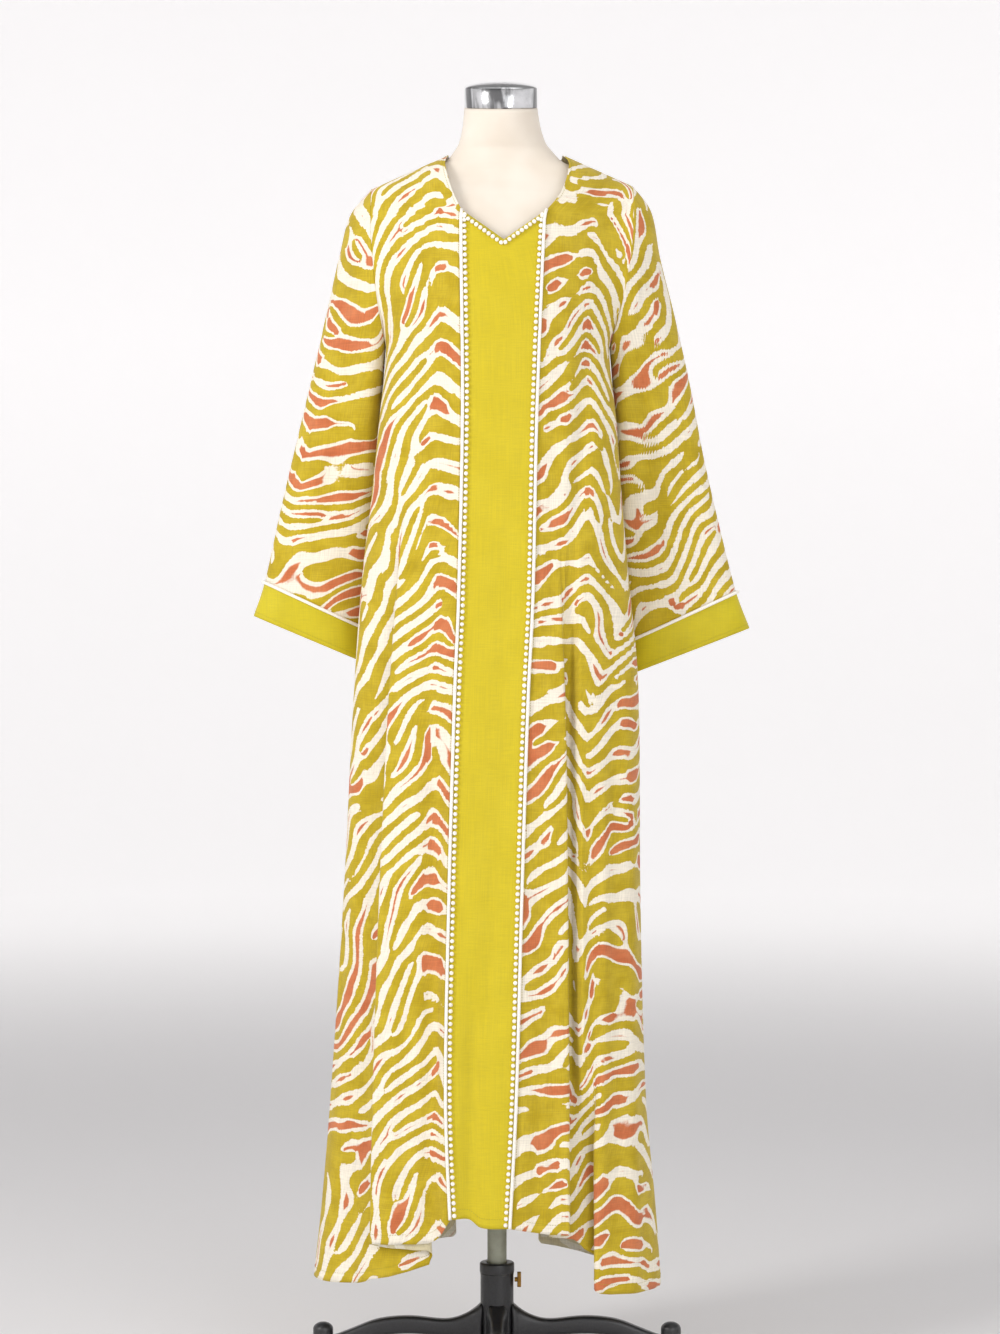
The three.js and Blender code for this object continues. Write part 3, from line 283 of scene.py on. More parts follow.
def make_camera():
    data = bpy.data.cameras.new("photo_camera")
    camera = bpy.data.objects.new("photo_camera", data)
    bpy.context.scene.collection.objects.link(camera)
    camera.location = CAMERA_PLACE
    camera.rotation_euler = (math.pi / 2, 0, 0)
    data.sensor_fit = "VERTICAL"
    data.sensor_height = SENSOR_HEIGHT
    view_height = PHOTO_HEIGHT * PIXEL_SIZE * MM
    data.lens = SENSOR_HEIGHT * -CAMERA_PLACE[1] / view_height
    bpy.context.scene.camera = camera


make_camera()


# Small helpers


def mix(a, b, t):
    return a + (b - a) * t


def smooth_step(start, end, value):
    t = np.clip((value - start) / (end - start), 0, 1)
    return t * t * (3 - 2 * t)


def run_lengths(steps, axis):
    """The length from a line's start to each of its points, from the steps between them."""
    start = np.zeros_like(np.take(steps, [0], axis))
    return np.concatenate([start, np.cumsum(steps, axis=axis)], axis=axis)


def unit(vectors):
    size = np.linalg.norm(vectors, axis=-1, keepdims=True)
    return vectors / np.maximum(size, 1e-9)


def read_table(rows, key, column, at):
    """A column of a table at any key, on a smooth curve through its rows."""
    keys = rows[key]
    values = rows[column]
    at = np.clip(at, keys[0], keys[-1])
    slopes = np.empty(len(keys))
    slopes[1:-1] = (values[2:] - values[:-2]) / (keys[2:] - keys[:-2])
    slopes[0] = (values[1] - values[0]) / (keys[1] - keys[0])
    slopes[-1] = (values[-1] - values[-2]) / (keys[-1] - keys[-2])
    i = np.clip(np.searchsorted(keys, at, side="left") - 1, 0, len(keys) - 2)
    step = keys[i + 1] - keys[i]
    t = (at - keys[i]) / step
    curve = t * t * (3 - 2 * t)
    bend = (1 - t) * slopes[i] * step - t * slopes[i + 1] * step
    return mix(values[i], values[i + 1], curve) + t * (1 - t) * bend


# The body's outline at each height. The length along it is 0 at the front
# centre, negative towards -X and positive towards +X.


def body_levels(height):
    names = ["rightSide", "leftSide", "front", "back", "sideY"]
    return {name: read_table(BODY_LEVELS, "height", name, height) for name in names}


def outline_point(levels, turn):
    across = np.sin(turn)
    along = np.cos(turn)
    power = 2 / np.where(along > 0, FRONT_ROUNDNESS, BACK_ROUNDNESS)
    reach = np.where(across < 0, levels["rightSide"], levels["leftSide"])
    depth = np.where(along > 0, levels["front"], levels["back"]) - levels["sideY"]
    x = reach * np.abs(across) ** power
    y = levels["sideY"] + depth * np.abs(along) ** power
    return x, y


def make_rings():
    heights = np.arange(RING_LOW, UNDERARM + RING_STEP, RING_STEP, dtype=float)
    levels = {name: column[:, None] for name, column in body_levels(heights).items()}
    turns = np.linspace(-math.pi, math.pi, RING_TURNS + 1)[None, :]
    x, y = outline_point(levels, turns)
    steps = np.hypot(np.diff(x, axis=1), np.diff(y, axis=1))
    lengths = run_lengths(steps, 1)
    totals = lengths[:, -1]
    lengths = lengths - lengths[:, RING_TURNS // 2][:, None]
    places = np.linspace(0, 1, RING_PLACES + 1)
    even = np.empty((len(heights), RING_PLACES + 1, 4))
    for i in range(len(heights)):
        at = lengths[i, 0] + places * totals[i]
        even[i, :, 0] = np.interp(at, lengths[i], x[i])
        even[i, :, 1] = np.interp(at, lengths[i], y[i])
    wide = 6
    wrapped = np.concatenate([even[:, -wide - 1 : -1, :2], even[:, :, :2], even[:, 1 : wide + 1, :2]], axis=1)
    even[:, :, 2:] = unit(wrapped[:, 2 * wide :] - wrapped[:, : -2 * wide])
    return dict(lengths=lengths, first=lengths[:, 0], totals=totals, places=even)


RINGS = make_rings()


def ring_row(height):
    """The ring below a height, and how far the height is towards the next one."""
    row = np.clip((height - RING_LOW) / RING_STEP, 0, len(RINGS["totals"]) - 1.0001)
    low = np.floor(row).astype(int)
    return low, row - low


def length_at_turn(height, turn):
    low, share = ring_row(height)
    place = np.clip((turn / math.pi + 1) * RING_TURNS / 2, 0, RING_TURNS - 0.0001)
    i = np.floor(place).astype(int)
    t = place - i
    even = RINGS["lengths"]
    below = mix(even[low, i], even[low, i + 1], t)
    above = mix(even[low + 1, i], even[low + 1, i + 1], t)
    return mix(below, above, share)


def ring_total(height):
    low, share = ring_row(height)
    return mix(RINGS["totals"][low], RINGS["totals"][low + 1], share)


def length_at_x(height, x, on_back):
    levels = body_levels(height)
    reach = np.where(x < 0, levels["rightSide"], levels["leftSide"])
    roundness = BACK_ROUNDNESS if on_back else FRONT_ROUNDNESS
    share = np.clip(np.abs(x / reach), 0, 1)
    turn = np.sign(x) * np.arcsin(share ** (roundness / 2))
    if not on_back:
        return length_at_turn(height, turn)
    back_turn = math.pi - turn
    wraps = back_turn > math.pi
    inside = np.where(wraps, back_turn - 2 * math.pi, back_turn)
    return length_at_turn(height, inside) + np.where(wraps, ring_total(height), 0)


def place_on_ring(height, length):
    """x, y and the direction along the ring at lengths on it."""
    low, share = ring_row(height)
    first = mix(RINGS["first"][low], RINGS["first"][low + 1], share)
    place = np.mod((length - first) / ring_total(height), 1) * RING_PLACES
    i = np.minimum(np.floor(place).astype(int), RING_PLACES - 1)
    t = (place - i)[..., None]
    even = RINGS["places"]
    below = mix(even[low, i], even[low, i + 1], t)
    above = mix(even[low + 1, i], even[low + 1, i + 1], t)
    found = mix(below, above, share[..., None])
    return found[..., 0], found[..., 1], unit(found[..., 2:])


def panel_ends(panel, height):
    right_seam = length_at_x(height, read_table(PANEL_SEAMS, "height", "right", height), False)
    left_seam = length_at_x(height, read_table(PANEL_SEAMS, "height", "left", height), False)
    right_side = length_at_turn(height, np.full_like(height, -math.pi / 2))
    left_side = length_at_turn(height, np.full_like(height, math.pi / 2))
    if panel == "front_right":
        return right_side, right_seam
    if panel == "centre_panel":
        return right_seam, left_seam
    if panel == "front_left":
        return left_seam, left_side
    return left_side, right_side + ring_total(height)


# Lapped folds


def fold_edge_x(fold, height):
    t = (FOLD_HIGH - np.maximum(height, FOLD_LOW)) / (FOLD_HIGH - FOLD_LOW)
    middle = (FOLD_HIGH - FOLD_MIDDLE) / (FOLD_HIGH - FOLD_LOW)
    first = fold["high"] * (t - middle) * (t - 1) / middle
    second = fold["middle"] * t * (t - 1) / (middle * (middle - 1))
    third = fold["low"] * t * (t - middle) / (1 - middle)
    return first + second + third


def lapped_step(number, lap):
    """The cloth's path through a fold: under its edge, round, back, round and out."""
    r = FOLD_RADIUS
    if number <= 1:
        return mix(-1.5 * r, lap, number), np.full_like(lap, -4 * r)
    if number <= 3:
        turn = (number - 2) * math.pi / 2
        return lap + r * math.cos(turn), np.full_like(lap, -3 * r + r * math.sin(turn))
    if number <= 4:
        return mix(lap, r, number - 3), np.full_like(lap, -2 * r)
    if number <= 6:
        turn = (number - 5) * math.pi / 2
        return np.full_like(lap, r - r * math.cos(turn)), np.full_like(lap, -r + r * math.sin(turn))
    return mix(r, lap + r, number - 6), np.zeros_like(lap)


def fold_step(panel, fold, number, height):
    """Steps along and out of a ring for one place in a fold, at each height."""
    lap = np.maximum(fold["overlap"] * (fold["starts"] - height) / (fold["starts"] - FOLD_LOW), 0)
    mirrored = fold["looks"] * (-1 if panel == "back" else 1) > 0
    if mirrored:
        number = FOLD_LAST - number
    along, out = lapped_step(number, lap)
    closed = 1 - smooth_step(fold["full"], fold["starts"], height)
    flat = FLAT_FOLD_HALF_WIDTH * (2 * number / FOLD_LAST - 1)
    along = mix(flat, along, closed)
    return (-along if mirrored else along), out * closed


def panel_columns(panel):
    """The columns of a panel: the CAD column each stands at, and how it is placed."""
    columns = [dict(cad=0.0, station=0, number=0.0)]
    cad = 0.0
    folds = FOLDS[panel]
    for i, span in enumerate(PANEL_SPANS[panel]):
        count = span * SPAN_FINES[panel][i]
        for step in range(1, count):
            t = step / count
            columns.append(dict(cad=cad + span * t, span=i, t=t))
        cad += span
        if i < len(folds):
            for number in FOLD_STEPS:
                columns.append(dict(cad=cad + number, station=i + 1, number=float(number)))
            cad += FOLD_LAST
        else:
            columns.append(dict(cad=cad, station=i + 1, number=0.0))
    return columns, cad


def station_place(panel, station, number, height):
    """Length and step out of a place in a station: a panel's end or one of its folds."""
    folds = FOLDS[panel]
    start, end = panel_ends(panel, height)
    if station == 0:
        return start, np.zeros_like(start)
    if station == len(folds) + 1:
        return end, np.zeros_like(end)
    fold = folds[station - 1]
    edge = length_at_x(height, fold_edge_x(fold, height), panel == "back")
    along, out = fold_step(panel, fold, number, height)
    return edge + along, out


def column_place(panel, column, height):
    if "station" in column:
        return station_place(panel, column["station"], column["number"], height)
    before = station_place(panel, column["span"], FOLD_LAST, height)
    after = station_place(panel, column["span"] + 1, 0.0, height)
    t = column["t"]
    return mix(before[0], after[0], t), mix(before[1], after[1], smooth_step(0, 1, t))


# Soft creases


def crease_depth(x, height, on_back):
    depth = np.zeros_like(x)
    deeper = 1 + LOW_CREASES_DEEPER * (1 - smooth_step(700, 850, height))
    for row in SOFT_CREASES + FINE_CREASES:
        crease = dict(zip(CREASE_COLUMNS, row))
        if bool(crease["on_back"]) != on_back:
            continue
        t = (crease["top"] - height) / (crease["top"] - crease["bottom"])
        middle = mix(crease["high"], crease["low"], t)
        fade = smooth_step(0, 0.35, t) * (1 - smooth_step(0.92, 1.25, t))
        depth = depth + crease["depth"] * fade * np.exp(-(((x - middle) / crease["width"]) ** 2))
    return depth * deeper


def seam_fade(length, start, end):
    return smooth_step(0, SEAM_FADE, np.minimum(length - start, end - length))


# The yoke, above the underarm

UNDERARM_Y = read_table(BODY_LEVELS, "height", "sideY", UNDERARM)


def yoke_rise(row):
    return (1 - np.cos(math.pi * row / YOKE_ROWS)) / 2


def armhole_point(side, turn):
    """A place on the armhole: 0 at the underarm and pi at the shoulder tip, front first."""
    arm = ARMHOLES[side]
    rise = (1 - np.cos(turn)) / 2
    bulge = np.sin(turn)
    x = mix(arm["underX"], arm["tipX"], rise) + arm["bow"] * bulge**2
    y = mix(UNDERARM_Y, SHOULDER_Y, rise) - bulge * np.where(bulge > 0, arm["front"], arm["back"])
    z = mix(UNDERARM, arm["tipHeight"], rise)
    return np.stack([x, y, z], axis=-1)


def inner_height(row):
    corner = yoke_rise(CORNER_ROW)
    rise = yoke_rise(row)
    below = mix(UNDERARM, NECK_CORNER, rise / corner)
    above = mix(NECK_CORNER, NECK_TOP, (rise - corner) / (1 - corner))
    return np.where(row <= CORNER_ROW, below, above)


def inner_x(side, height):
    name = SIDE_WORDS[side]
    low = read_table(PANEL_SEAMS, "height", name, height)
    high = read_table(NECKLINE, "height", name, height)
    return np.where(height <= NECK_CORNER, low, high)


def dome_share(height, top):
    t = np.clip((height - UNDERARM) / (top - UNDERARM), 0, 1)
    return np.sqrt(1 - t * t)


def underarm_base(panel, columns):
    """Each column's place at the underarm: x, y, its share of the panel, and its seam fade."""
    height = np.full(1, float(UNDERARM))
    lengths = np.array([column_place(panel, column, height)[0][0] for column in columns])
    start, end = (value[0] for value in panel_ends(panel, height))
    x, y, _ = place_on_ring(np.full_like(lengths, float(UNDERARM)), lengths)
    share = (lengths - start) / (end - start)
    return x, y, share, seam_fade(lengths, start, end)


def pull_power(power, rise):
    return power + UNDERARM_PULL_POWER * (1 - rise) ** UNDERARM_PULL_FADE


def front_yoke(panel, side, columns, rows):
    base_x, base_y, share, fade = underarm_base(panel, columns)
    outward = 1 - share if side == RIGHT else share
    seam_x = inner_x(side, UNDERARM)
    side_x = ARMHOLES[side]["underX"]
    across_below = (base_x - seam_x) / (side_x - seam_x)
    rise = yoke_rise(rows)[:, None]
    arm = armhole_point(side, math.pi * rows / YOKE_ROWS)[:, None, :]
    inner = inner_height(rows)[:, None]
    across = mix(across_below, outward, rise)
    x = mix(inner_x(side, inner), arm[..., 0], across)
    z = mix(inner, arm[..., 2], outward)
    top = mix(NECK_TOP, ARMHOLES[side]["tipHeight"], outward)
    share_up = dome_share(z, top)
    dome = SHOULDER_Y + (base_y - SHOULDER_Y) * share_up
    edge = SHOULDER_Y + (UNDERARM_Y - SHOULDER_Y) * share_up
    crease = crease_depth(x, z, False) * fade * (1 - rise)
    near_side = outward ** pull_power(FRONT_PULL_POWER, rise)
    return np.stack([x, dome + (arm[..., 1] - edge) * near_side + crease, z], axis=-1)


def shoulder_height(x):
    right_neck = inner_x(RIGHT, NECK_TOP)
    left_neck = inner_x(LEFT, NECK_TOP)
    t_right = (x - right_neck) / (ARMHOLES[RIGHT]["tipX"] - right_neck)
    t_left = (x - left_neck) / (ARMHOLES[LEFT]["tipX"] - left_neck)
    right = mix(NECK_TOP, ARMHOLES[RIGHT]["tipHeight"], np.maximum(t_right, 0))
    left = mix(NECK_TOP, ARMHOLES[LEFT]["tipHeight"], np.maximum(t_left, 0))
    return np.where(x < NECK_MIDDLE_X, right, left)


def back_top_height(x):
    right_x = inner_x(RIGHT, NECK_TOP)
    left_x = inner_x(LEFT, NECK_TOP)
    t = (2 * x - right_x - left_x) / (left_x - right_x)
    dip = NECK_TOP - BACK_NECK_DIP * np.sqrt(np.maximum(1 - t * t, 0))
    return np.where(np.abs(t) >= 1, shoulder_height(x), dip)


def back_yoke(columns, rows):
    base_x, base_y, share, fade = underarm_base("back", columns)
    rise = yoke_rise(rows)[:, None]
    turns = -math.pi * rows / YOKE_ROWS
    left_arm = armhole_point(LEFT, turns)[:, None, :]
    right_arm = armhole_point(RIGHT, turns)[:, None, :]
    left_under = ARMHOLES[LEFT]["underX"]
    right_under = ARMHOLES[RIGHT]["underX"]
    below = (left_under - base_x) / (left_under - right_under)
    across = mix(below, share, rise)
    x = mix(left_arm[..., 0], right_arm[..., 0], across)
    top = back_top_height(x)
    z = mix(UNDERARM, top, rise)
    dome = SHOULDER_Y + (base_y - SHOULDER_Y) * dome_share(z, np.maximum(shoulder_height(x), top))
    side = np.where((share < 0.5)[None, :, None], left_arm, right_arm)
    edge = SHOULDER_Y + (UNDERARM_Y - SHOULDER_Y) * dome_share(side[..., 2], top)
    near_side = np.abs(2 * share - 1) ** pull_power(BACK_PULL_POWER, rise)
    crease = crease_depth(x, z, True) * fade * (1 - rise)
    return np.stack([x, dome + (side[..., 1] - edge) * near_side - crease, z], axis=-1)


def centre_yoke(columns, rows):
    _, base_y, _, fade = underarm_base("centre_panel", columns)
    share = np.linspace(0, 1, len(columns))
    inner = inner_height(rows)[:, None]
    rise = (inner - UNDERARM) / (NECK_CORNER - UNDERARM)
    edge = mix(NECK_TIP, NECK_CORNER, np.abs(2 * share - 1))
    z = mix(UNDERARM, edge, rise)
    x = mix(inner_x(RIGHT, inner), inner_x(LEFT, inner), share)
    crease = crease_depth(x, z, False) * fade * (1 - rise)
    return np.stack([x, SHOULDER_Y + (base_y - SHOULDER_Y) * dome_share(z, NECK_TOP) + crease, z], axis=-1)


def skirt(panel, columns, last_cad):
    grid = np.empty((SKIRT_STEPS, len(columns), 3))
    steps = np.arange(SKIRT_STEPS) / SKIRT_STEPS
    for c, column in enumerate(columns):
        hem = read_table(HEMS[panel], "along", "height", column["cad"] / last_cad)
        height = mix(hem, UNDERARM, steps)
        start, end = panel_ends(panel, height)
        length, out = column_place(panel, column, height)
        x, y, along = place_on_ring(height, length)
        crease = crease_depth(x, height, panel == "back") * seam_fade(length, start, end)
        outward = out - crease
        grid[:, c, 0] = x + along[:, 1] * outward
        grid[:, c, 1] = y - along[:, 0] * outward
        grid[:, c, 2] = height
    return grid


def ease_underarm(grid, panel, share):
    """Smooths the change of slope at the underarm, away from the armhole."""
    held = np.ones(len(share))
    if panel == "front_right":
        held = smooth_step(0, 0.25, share)
    if panel == "front_left":
        held = smooth_step(0, 0.25, 1 - share)
    if panel == "back":
        held = smooth_step(0, 0.2, np.minimum(share, 1 - share))
    first = SKIRT_STEPS - SMOOTH_REACH
    last = SKIRT_STEPS + SMOOTH_REACH
    for _ in range(SMOOTH_ROUNDS):
        middle = grid[first:last, :, :2]
        below = grid[first - 1 : last - 1, :, :2]
        above = grid[first + 1 : last + 1, :, :2]
        eased = 0.25 * below + 0.5 * middle + 0.25 * above
        grid[first:last, :, :2] = mix(middle, eased, held[None, :, None])
    return grid


def panel_grid(panel):
    """A body panel's points, from the hem up, and the share of the panel of each column."""
    columns, last_cad = panel_columns(panel)
    last_row = CORNER_ROW if panel == "centre_panel" else YOKE_ROWS
    rows = np.arange(last_row * YOKE_FINE + 1) / YOKE_FINE
    if panel == "front_right":
        yoke = front_yoke(panel, RIGHT, columns, rows)
    elif panel == "front_left":
        yoke = front_yoke(panel, LEFT, columns, rows)
    elif panel == "centre_panel":
        yoke = centre_yoke(columns, rows)
    else:
        yoke = back_yoke(columns, rows)
    share = underarm_base(panel, columns)[2]
    grid = np.concatenate([skirt(panel, columns, last_cad), yoke], axis=0)
    return ease_underarm(grid, panel, share)


# Sleeves and cuffs


def sleeve_crease(side, turn, along):
    depth = np.zeros(np.broadcast(turn, along).shape)
    for row in SLEEVE_CREASES:
        crease = dict(zip(SLEEVE_CREASE_COLUMNS, row))
        if crease["side"] != side:
            continue
        t = (along - crease["from"]) / (crease["to"] - crease["from"])
        fade = smooth_step(0, 0.3, t) * (1 - smooth_step(0.7, 1, t))
        middle = crease["round"] + crease["drift"] * t
        apart = (turn / (2 * math.pi) - middle + 0.5) % 1 - 0.5
        depth = depth + crease["depth"] * fade * np.exp(-((apart / crease["width"]) ** 2))
    return depth


def sleeve_point(side, turn, along):
    """A place on a sleeve: turn 0 on its inner edge, pi on its outer edge."""
    rows = SLEEVES[side]
    read = {name: read_table(rows, "along", name, along) for name in SLEEVE_COLUMNS[1:]}
    middle_x = (read["outerX"] + read["innerX"]) / 2
    middle_z = (read["outerZ"] + read["innerZ"]) / 2
    x = middle_x + (read["innerX"] - middle_x) * np.cos(turn)
    z = middle_z + (read["innerZ"] - middle_z) * np.cos(turn)
    depth = read["halfDepth"] - sleeve_crease(side, turn, along)
    y = read["centreY"] - np.sin(turn) * depth
    return np.stack(np.broadcast_arrays(x, y, z), axis=-1)


def sleeve_grid(side, alongs):
    turn = np.linspace(0, 2 * math.pi, SLEEVE_AROUND + 1)[None, :]
    along = np.asarray(alongs, float)[:, None]
    root = armhole_point(side, turn)
    root[..., 0] += side * SEAM_GAP
    pull = np.maximum(1 - along / ROOT_PULL, 0)[..., None] ** 2
    offset = root - sleeve_point(side, turn, np.zeros((1, 1)))
    return sleeve_point(side, turn, along) + offset * pull


# Meshes from grids


def cloth_lengths(grid, middle_row):
    """Lengths along and up the cloth at each point of a grid, for the weave and print."""
    along = run_lengths(np.linalg.norm(np.diff(grid, axis=1), axis=-1), 1)
    high = run_lengths(np.linalg.norm(np.diff(grid, axis=0), axis=-1), 0)
    return along, high - high[middle_row][None, :]


def sleeve_lengths(grid):
    """Lengths level round a sleeve from its inner edge, and heights, for the weave and print."""
    level = np.hypot(np.diff(grid[..., 0], axis=1), np.diff(grid[..., 1], axis=1))
    return run_lengths(level, 1), grid[..., 2] - UNDERARM


def grid_faces(rows, columns, flipped):
    r, c = np.meshgrid(np.arange(rows - 1), np.arange(columns - 1), indexing="ij")
    first = (r * columns + c).ravel()
    faces = np.stack([first, first + 1, first + 1 + columns, first + columns], axis=1)
    return faces[:, ::-1] if flipped else faces


def mesh_object(name, points, faces, materials, smooth=True):
    mesh = bpy.data.meshes.new(name)
    corners = faces.tolist() if isinstance(faces, np.ndarray) else faces
    mesh.from_pydata((np.asarray(points).reshape(-1, 3) * MM).tolist(), [], corners)
    for material in materials:
        mesh.materials.append(material)
    mesh.polygons.foreach_set("use_smooth", np.full(len(mesh.polygons), smooth))
    mesh.update()
    made = bpy.data.objects.new(name, mesh)
    bpy.context.scene.collection.objects.link(made)
    return made


def add_uv(made, u, v):
    """A UV map in metres along and up the cloth."""
    mesh = made.data
    layer = mesh.uv_layers.new(name="Cloth")
    index = np.empty(len(mesh.loops), np.int32)
    mesh.loops.foreach_get("vertex_index", index)
    places = np.stack([u.ravel()[index], v.ravel()[index]], axis=1) * MM
    layer.data.foreach_set("uv", places.ravel().astype(np.float32))


def add_stripes(made, turns, shares):
    """The print's phase and widths at each vertex, which the cloth's material reads."""
    for name, values in (("stripes", turns), ("widths", shares)):
        layer = made.data.attributes.new(name, "FLOAT_VECTOR", "POINT")
        layer.data.foreach_set("vector", np.asarray(values, np.float32).ravel())


def add_thickness(made, thickness):
    """Gives a sheet its thickness inwards, with the reverse of the cloth inside."""
    shell = made.modifiers.new("thickness", "SOLIDIFY")
    shell.thickness = thickness * MM
    shell.offset = -1
    shell.use_even_offset = False
    shell.material_offset = 1
    shell.material_offset_rim = 0


def finish_piece(made, body, slot, *nodes):
    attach(made, body)
    if nodes:
        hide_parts(*nodes)
    return made


# Materials. Sizes here are in metres, and a noise's size is that of its grains.

THREAD_PITCH = 0.00055
SLUB_WIDTH = 0.0012
EVEN_NOISE = (0.3, 0.7)
EVEN_SLUBS = (0.7, 1.3)
PALE = "#f2ecd6"
# How far the edge of the print strays, in millimetres for each unit of noise
PRINT_ROUGH = 3.4
PRINT_RAGGED = 2.4


def linear(code, share=1.0):
    """The linear colour of a hex code, times a share."""
    values = [int(code[i : i + 2], 16) / 255 for i in (1, 3, 5)]
    plain = [v / 12.92 if v <= 0.04045 else ((v + 0.055) / 1.055) ** 2.4 for v in values]
    return tuple(v * share for v in plain) + (1.0,)


class Look:
    """A material made of nodes."""

    def __init__(self, name):
        self.material = bpy.data.materials.new(name)
        self.material.use_nodes = True
        self.tree = self.material.node_tree
        self.tree.nodes.clear()
        self.shader = self.add("ShaderNodeBsdfPrincipled")
        output = self.add("ShaderNodeOutputMaterial")
        self.give(output.inputs["Surface"], self.shader.outputs[0])

    def add(self, kind, **settings):
        node = self.tree.nodes.new(kind)
        for key, value in settings.items():
            setattr(node, key, value)
        return node

    def give(self, target, value):
        if isinstance(value, bpy.types.NodeSocket):
            self.tree.links.new(value, target)
        else:
            target.default_value = value

    def fill(self, inputs, *values):
        for target, value in zip(inputs, values):
            self.give(target, value)

    def feed(self, inputs, **values):
        """Fills inputs by name, with _ for each space."""
        for key, value in values.items():
            self.give(inputs[key.replace("_", " ")], value)

    def set(self, **values):
        self.feed(self.shader.inputs, **values)

    def math(self, operation, *values):
        node = self.add("ShaderNodeMath", operation=operation)
        self.fill(node.inputs, *values)
        return node.outputs[0]

    def times(self, first, second):
        return self.math("MULTIPLY", first, second)

    def ramp(self, value, start, end, low=0.0, high=1.0):
        node = self.add("ShaderNodeMapRange", interpolation_type="SMOOTHSTEP")
        self.fill(node.inputs, value, start, end, low, high)
        return node.outputs["Result"]

    def mix_colour(self, share, first, second, blend="MIX"):
        node = self.add("ShaderNodeMix", data_type="RGBA", blend_type=blend)
        self.fill([node.inputs[i] for i in (0, 6, 7)], share, first, second)
        return node.outputs[2]

    def mottled(self, noise, first, second):
        return self.mix_colour(self.ramp(noise, *EVEN_NOISE), first, second)

    def grey(self, value):
        node = self.add("ShaderNodeCombineXYZ")
        self.fill(node.inputs, value, value, value)
        return node.outputs[0]

    def parts(self, vector):
        """The X, Y and Z of a vector."""
        node = self.add("ShaderNodeSeparateXYZ")
        self.give(node.inputs[0], vector)
        return node.outputs

    def attribute(self, name):
        node = self.add("ShaderNodeAttribute", attribute_name=name, attribute_type="GEOMETRY")
        return self.parts(node.outputs["Vector"])

    def cloth_place(self):
        """The place on the cloth, along and up it."""
        return self.add("ShaderNodeUVMap", uv_map="Cloth").outputs["UV"]

    def object_place(self):
        return self.add("ShaderNodeTexCoord").outputs["Object"]

    def scaled(self, place, *scale):
        node = self.add("ShaderNodeMapping", vector_type="POINT")
        self.feed(node.inputs, Vector=place, Scale=scale)
        return node.outputs["Vector"]

    def noise(self, place, size, detail=2.0, roughness=0.5):
        node = self.add("ShaderNodeTexNoise", noise_dimensions="3D")
        self.feed(node.inputs, Vector=place, Scale=1 / size, Detail=detail, Roughness=roughness)
        return node.outputs["Fac"]

    def bump(self, height, distance, strength):
        node = self.add("ShaderNodeBump")
        self.feed(node.inputs, Height=height, Distance=distance, Strength=strength)
        self.set(Normal=node.outputs["Normal"])


def weave(look, place, slub_along, slub_across):
    """The height of a plain weave with slubs, and how light or dark its threads are."""
    split = look.parts(place)
    turns = 2 * math.pi / THREAD_PITCH
    warp = look.math("SINE", look.times(split["X"], turns))
    weft = look.math("SINE", look.times(split["Y"], turns))
    upright = look.noise(look.scaled(place, 1 / SLUB_WIDTH, 1 / slub_along, 1.0), 1.0, 2.0, 0.6)
    level = look.noise(look.scaled(place, 1 / slub_across, 1 / SLUB_WIDTH, 1.0), 1.0, 2.0, 0.6)
    slubs = look.math("ADD", upright, level)
    height = look.math("ADD", look.times(look.times(warp, weft), 0.16), look.times(slubs, 0.5))
    return height, slubs


def woven(look, colour, height, slubs, threads, gloss, relief, **constants):
    """Ends a cloth's material: its threads' light and dark, gloss and height."""
    lights = look.grey(look.ramp(slubs, *EVEN_SLUBS, *threads))
    shade = look.mix_colour(1.0, colour, lights, "MULTIPLY")
    look.set(Base_Color=shade, Roughness=look.ramp(slubs, *EVEN_SLUBS, *gloss), **constants)
    look.bump(height, relief, 0.6)
    return look.material


def printed_look(name, paler):
    """The printed cloth: white bands with coral islands on a lime ground."""
    look = Look(name)
    place = look.cloth_place()
    height, slubs = weave(look, place, 0.028, 0.028)
    turns = look.attribute("stripes")
    shares = look.attribute("widths")
    angle = look.math("ARCTAN2", turns["Y"], turns["X"])
    away = look.math("DIVIDE", look.math("ABSOLUTE", angle), math.pi)
    rough = look.math("SUBTRACT", look.noise(place, 0.009, 3.0, 0.6), 0.5)
    ragged = look.math("SUBTRACT", look.noise(place, 0.0032, 2.0, 0.5), 0.5)
    shift = look.math("MULTIPLY_ADD", ragged, PRINT_RAGGED, look.times(rough, PRINT_ROUGH))
    shift = look.times(shift, shares["Z"])
    reach = look.math("ADD", away, shift)
    white = look.ramp(look.math("SUBTRACT", shares["X"], reach), -0.02, 0.02)
    inside = look.math("SUBTRACT", shares["Y"], away)
    coral = look.ramp(look.math("MULTIPLY_ADD", shift, -0.6, inside), -0.05, 0.05)
    wash = look.noise(place, 0.03, 3.0, 0.6)
    ground = look.mottled(wash, linear("#b39a18"), linear("#c3aa2a"))
    ink = look.mottled(wash, linear("#c16a40"), linear("#cd7c50"))
    colour = look.mix_colour(white, ground, linear("#ece4d3"))
    colour = look.mix_colour(coral, colour, ink)
    if paler:
        colour = look.mix_colour(0.62, colour, linear(PALE))
    return woven(look, colour, height, slubs, threads=(0.86, 1.08), gloss=(0.72, 0.9), relief=0.00025,
                 Sheen_Weight=0.12, Sheen_Roughness=0.5, Specular_IOR_Level=0.25)


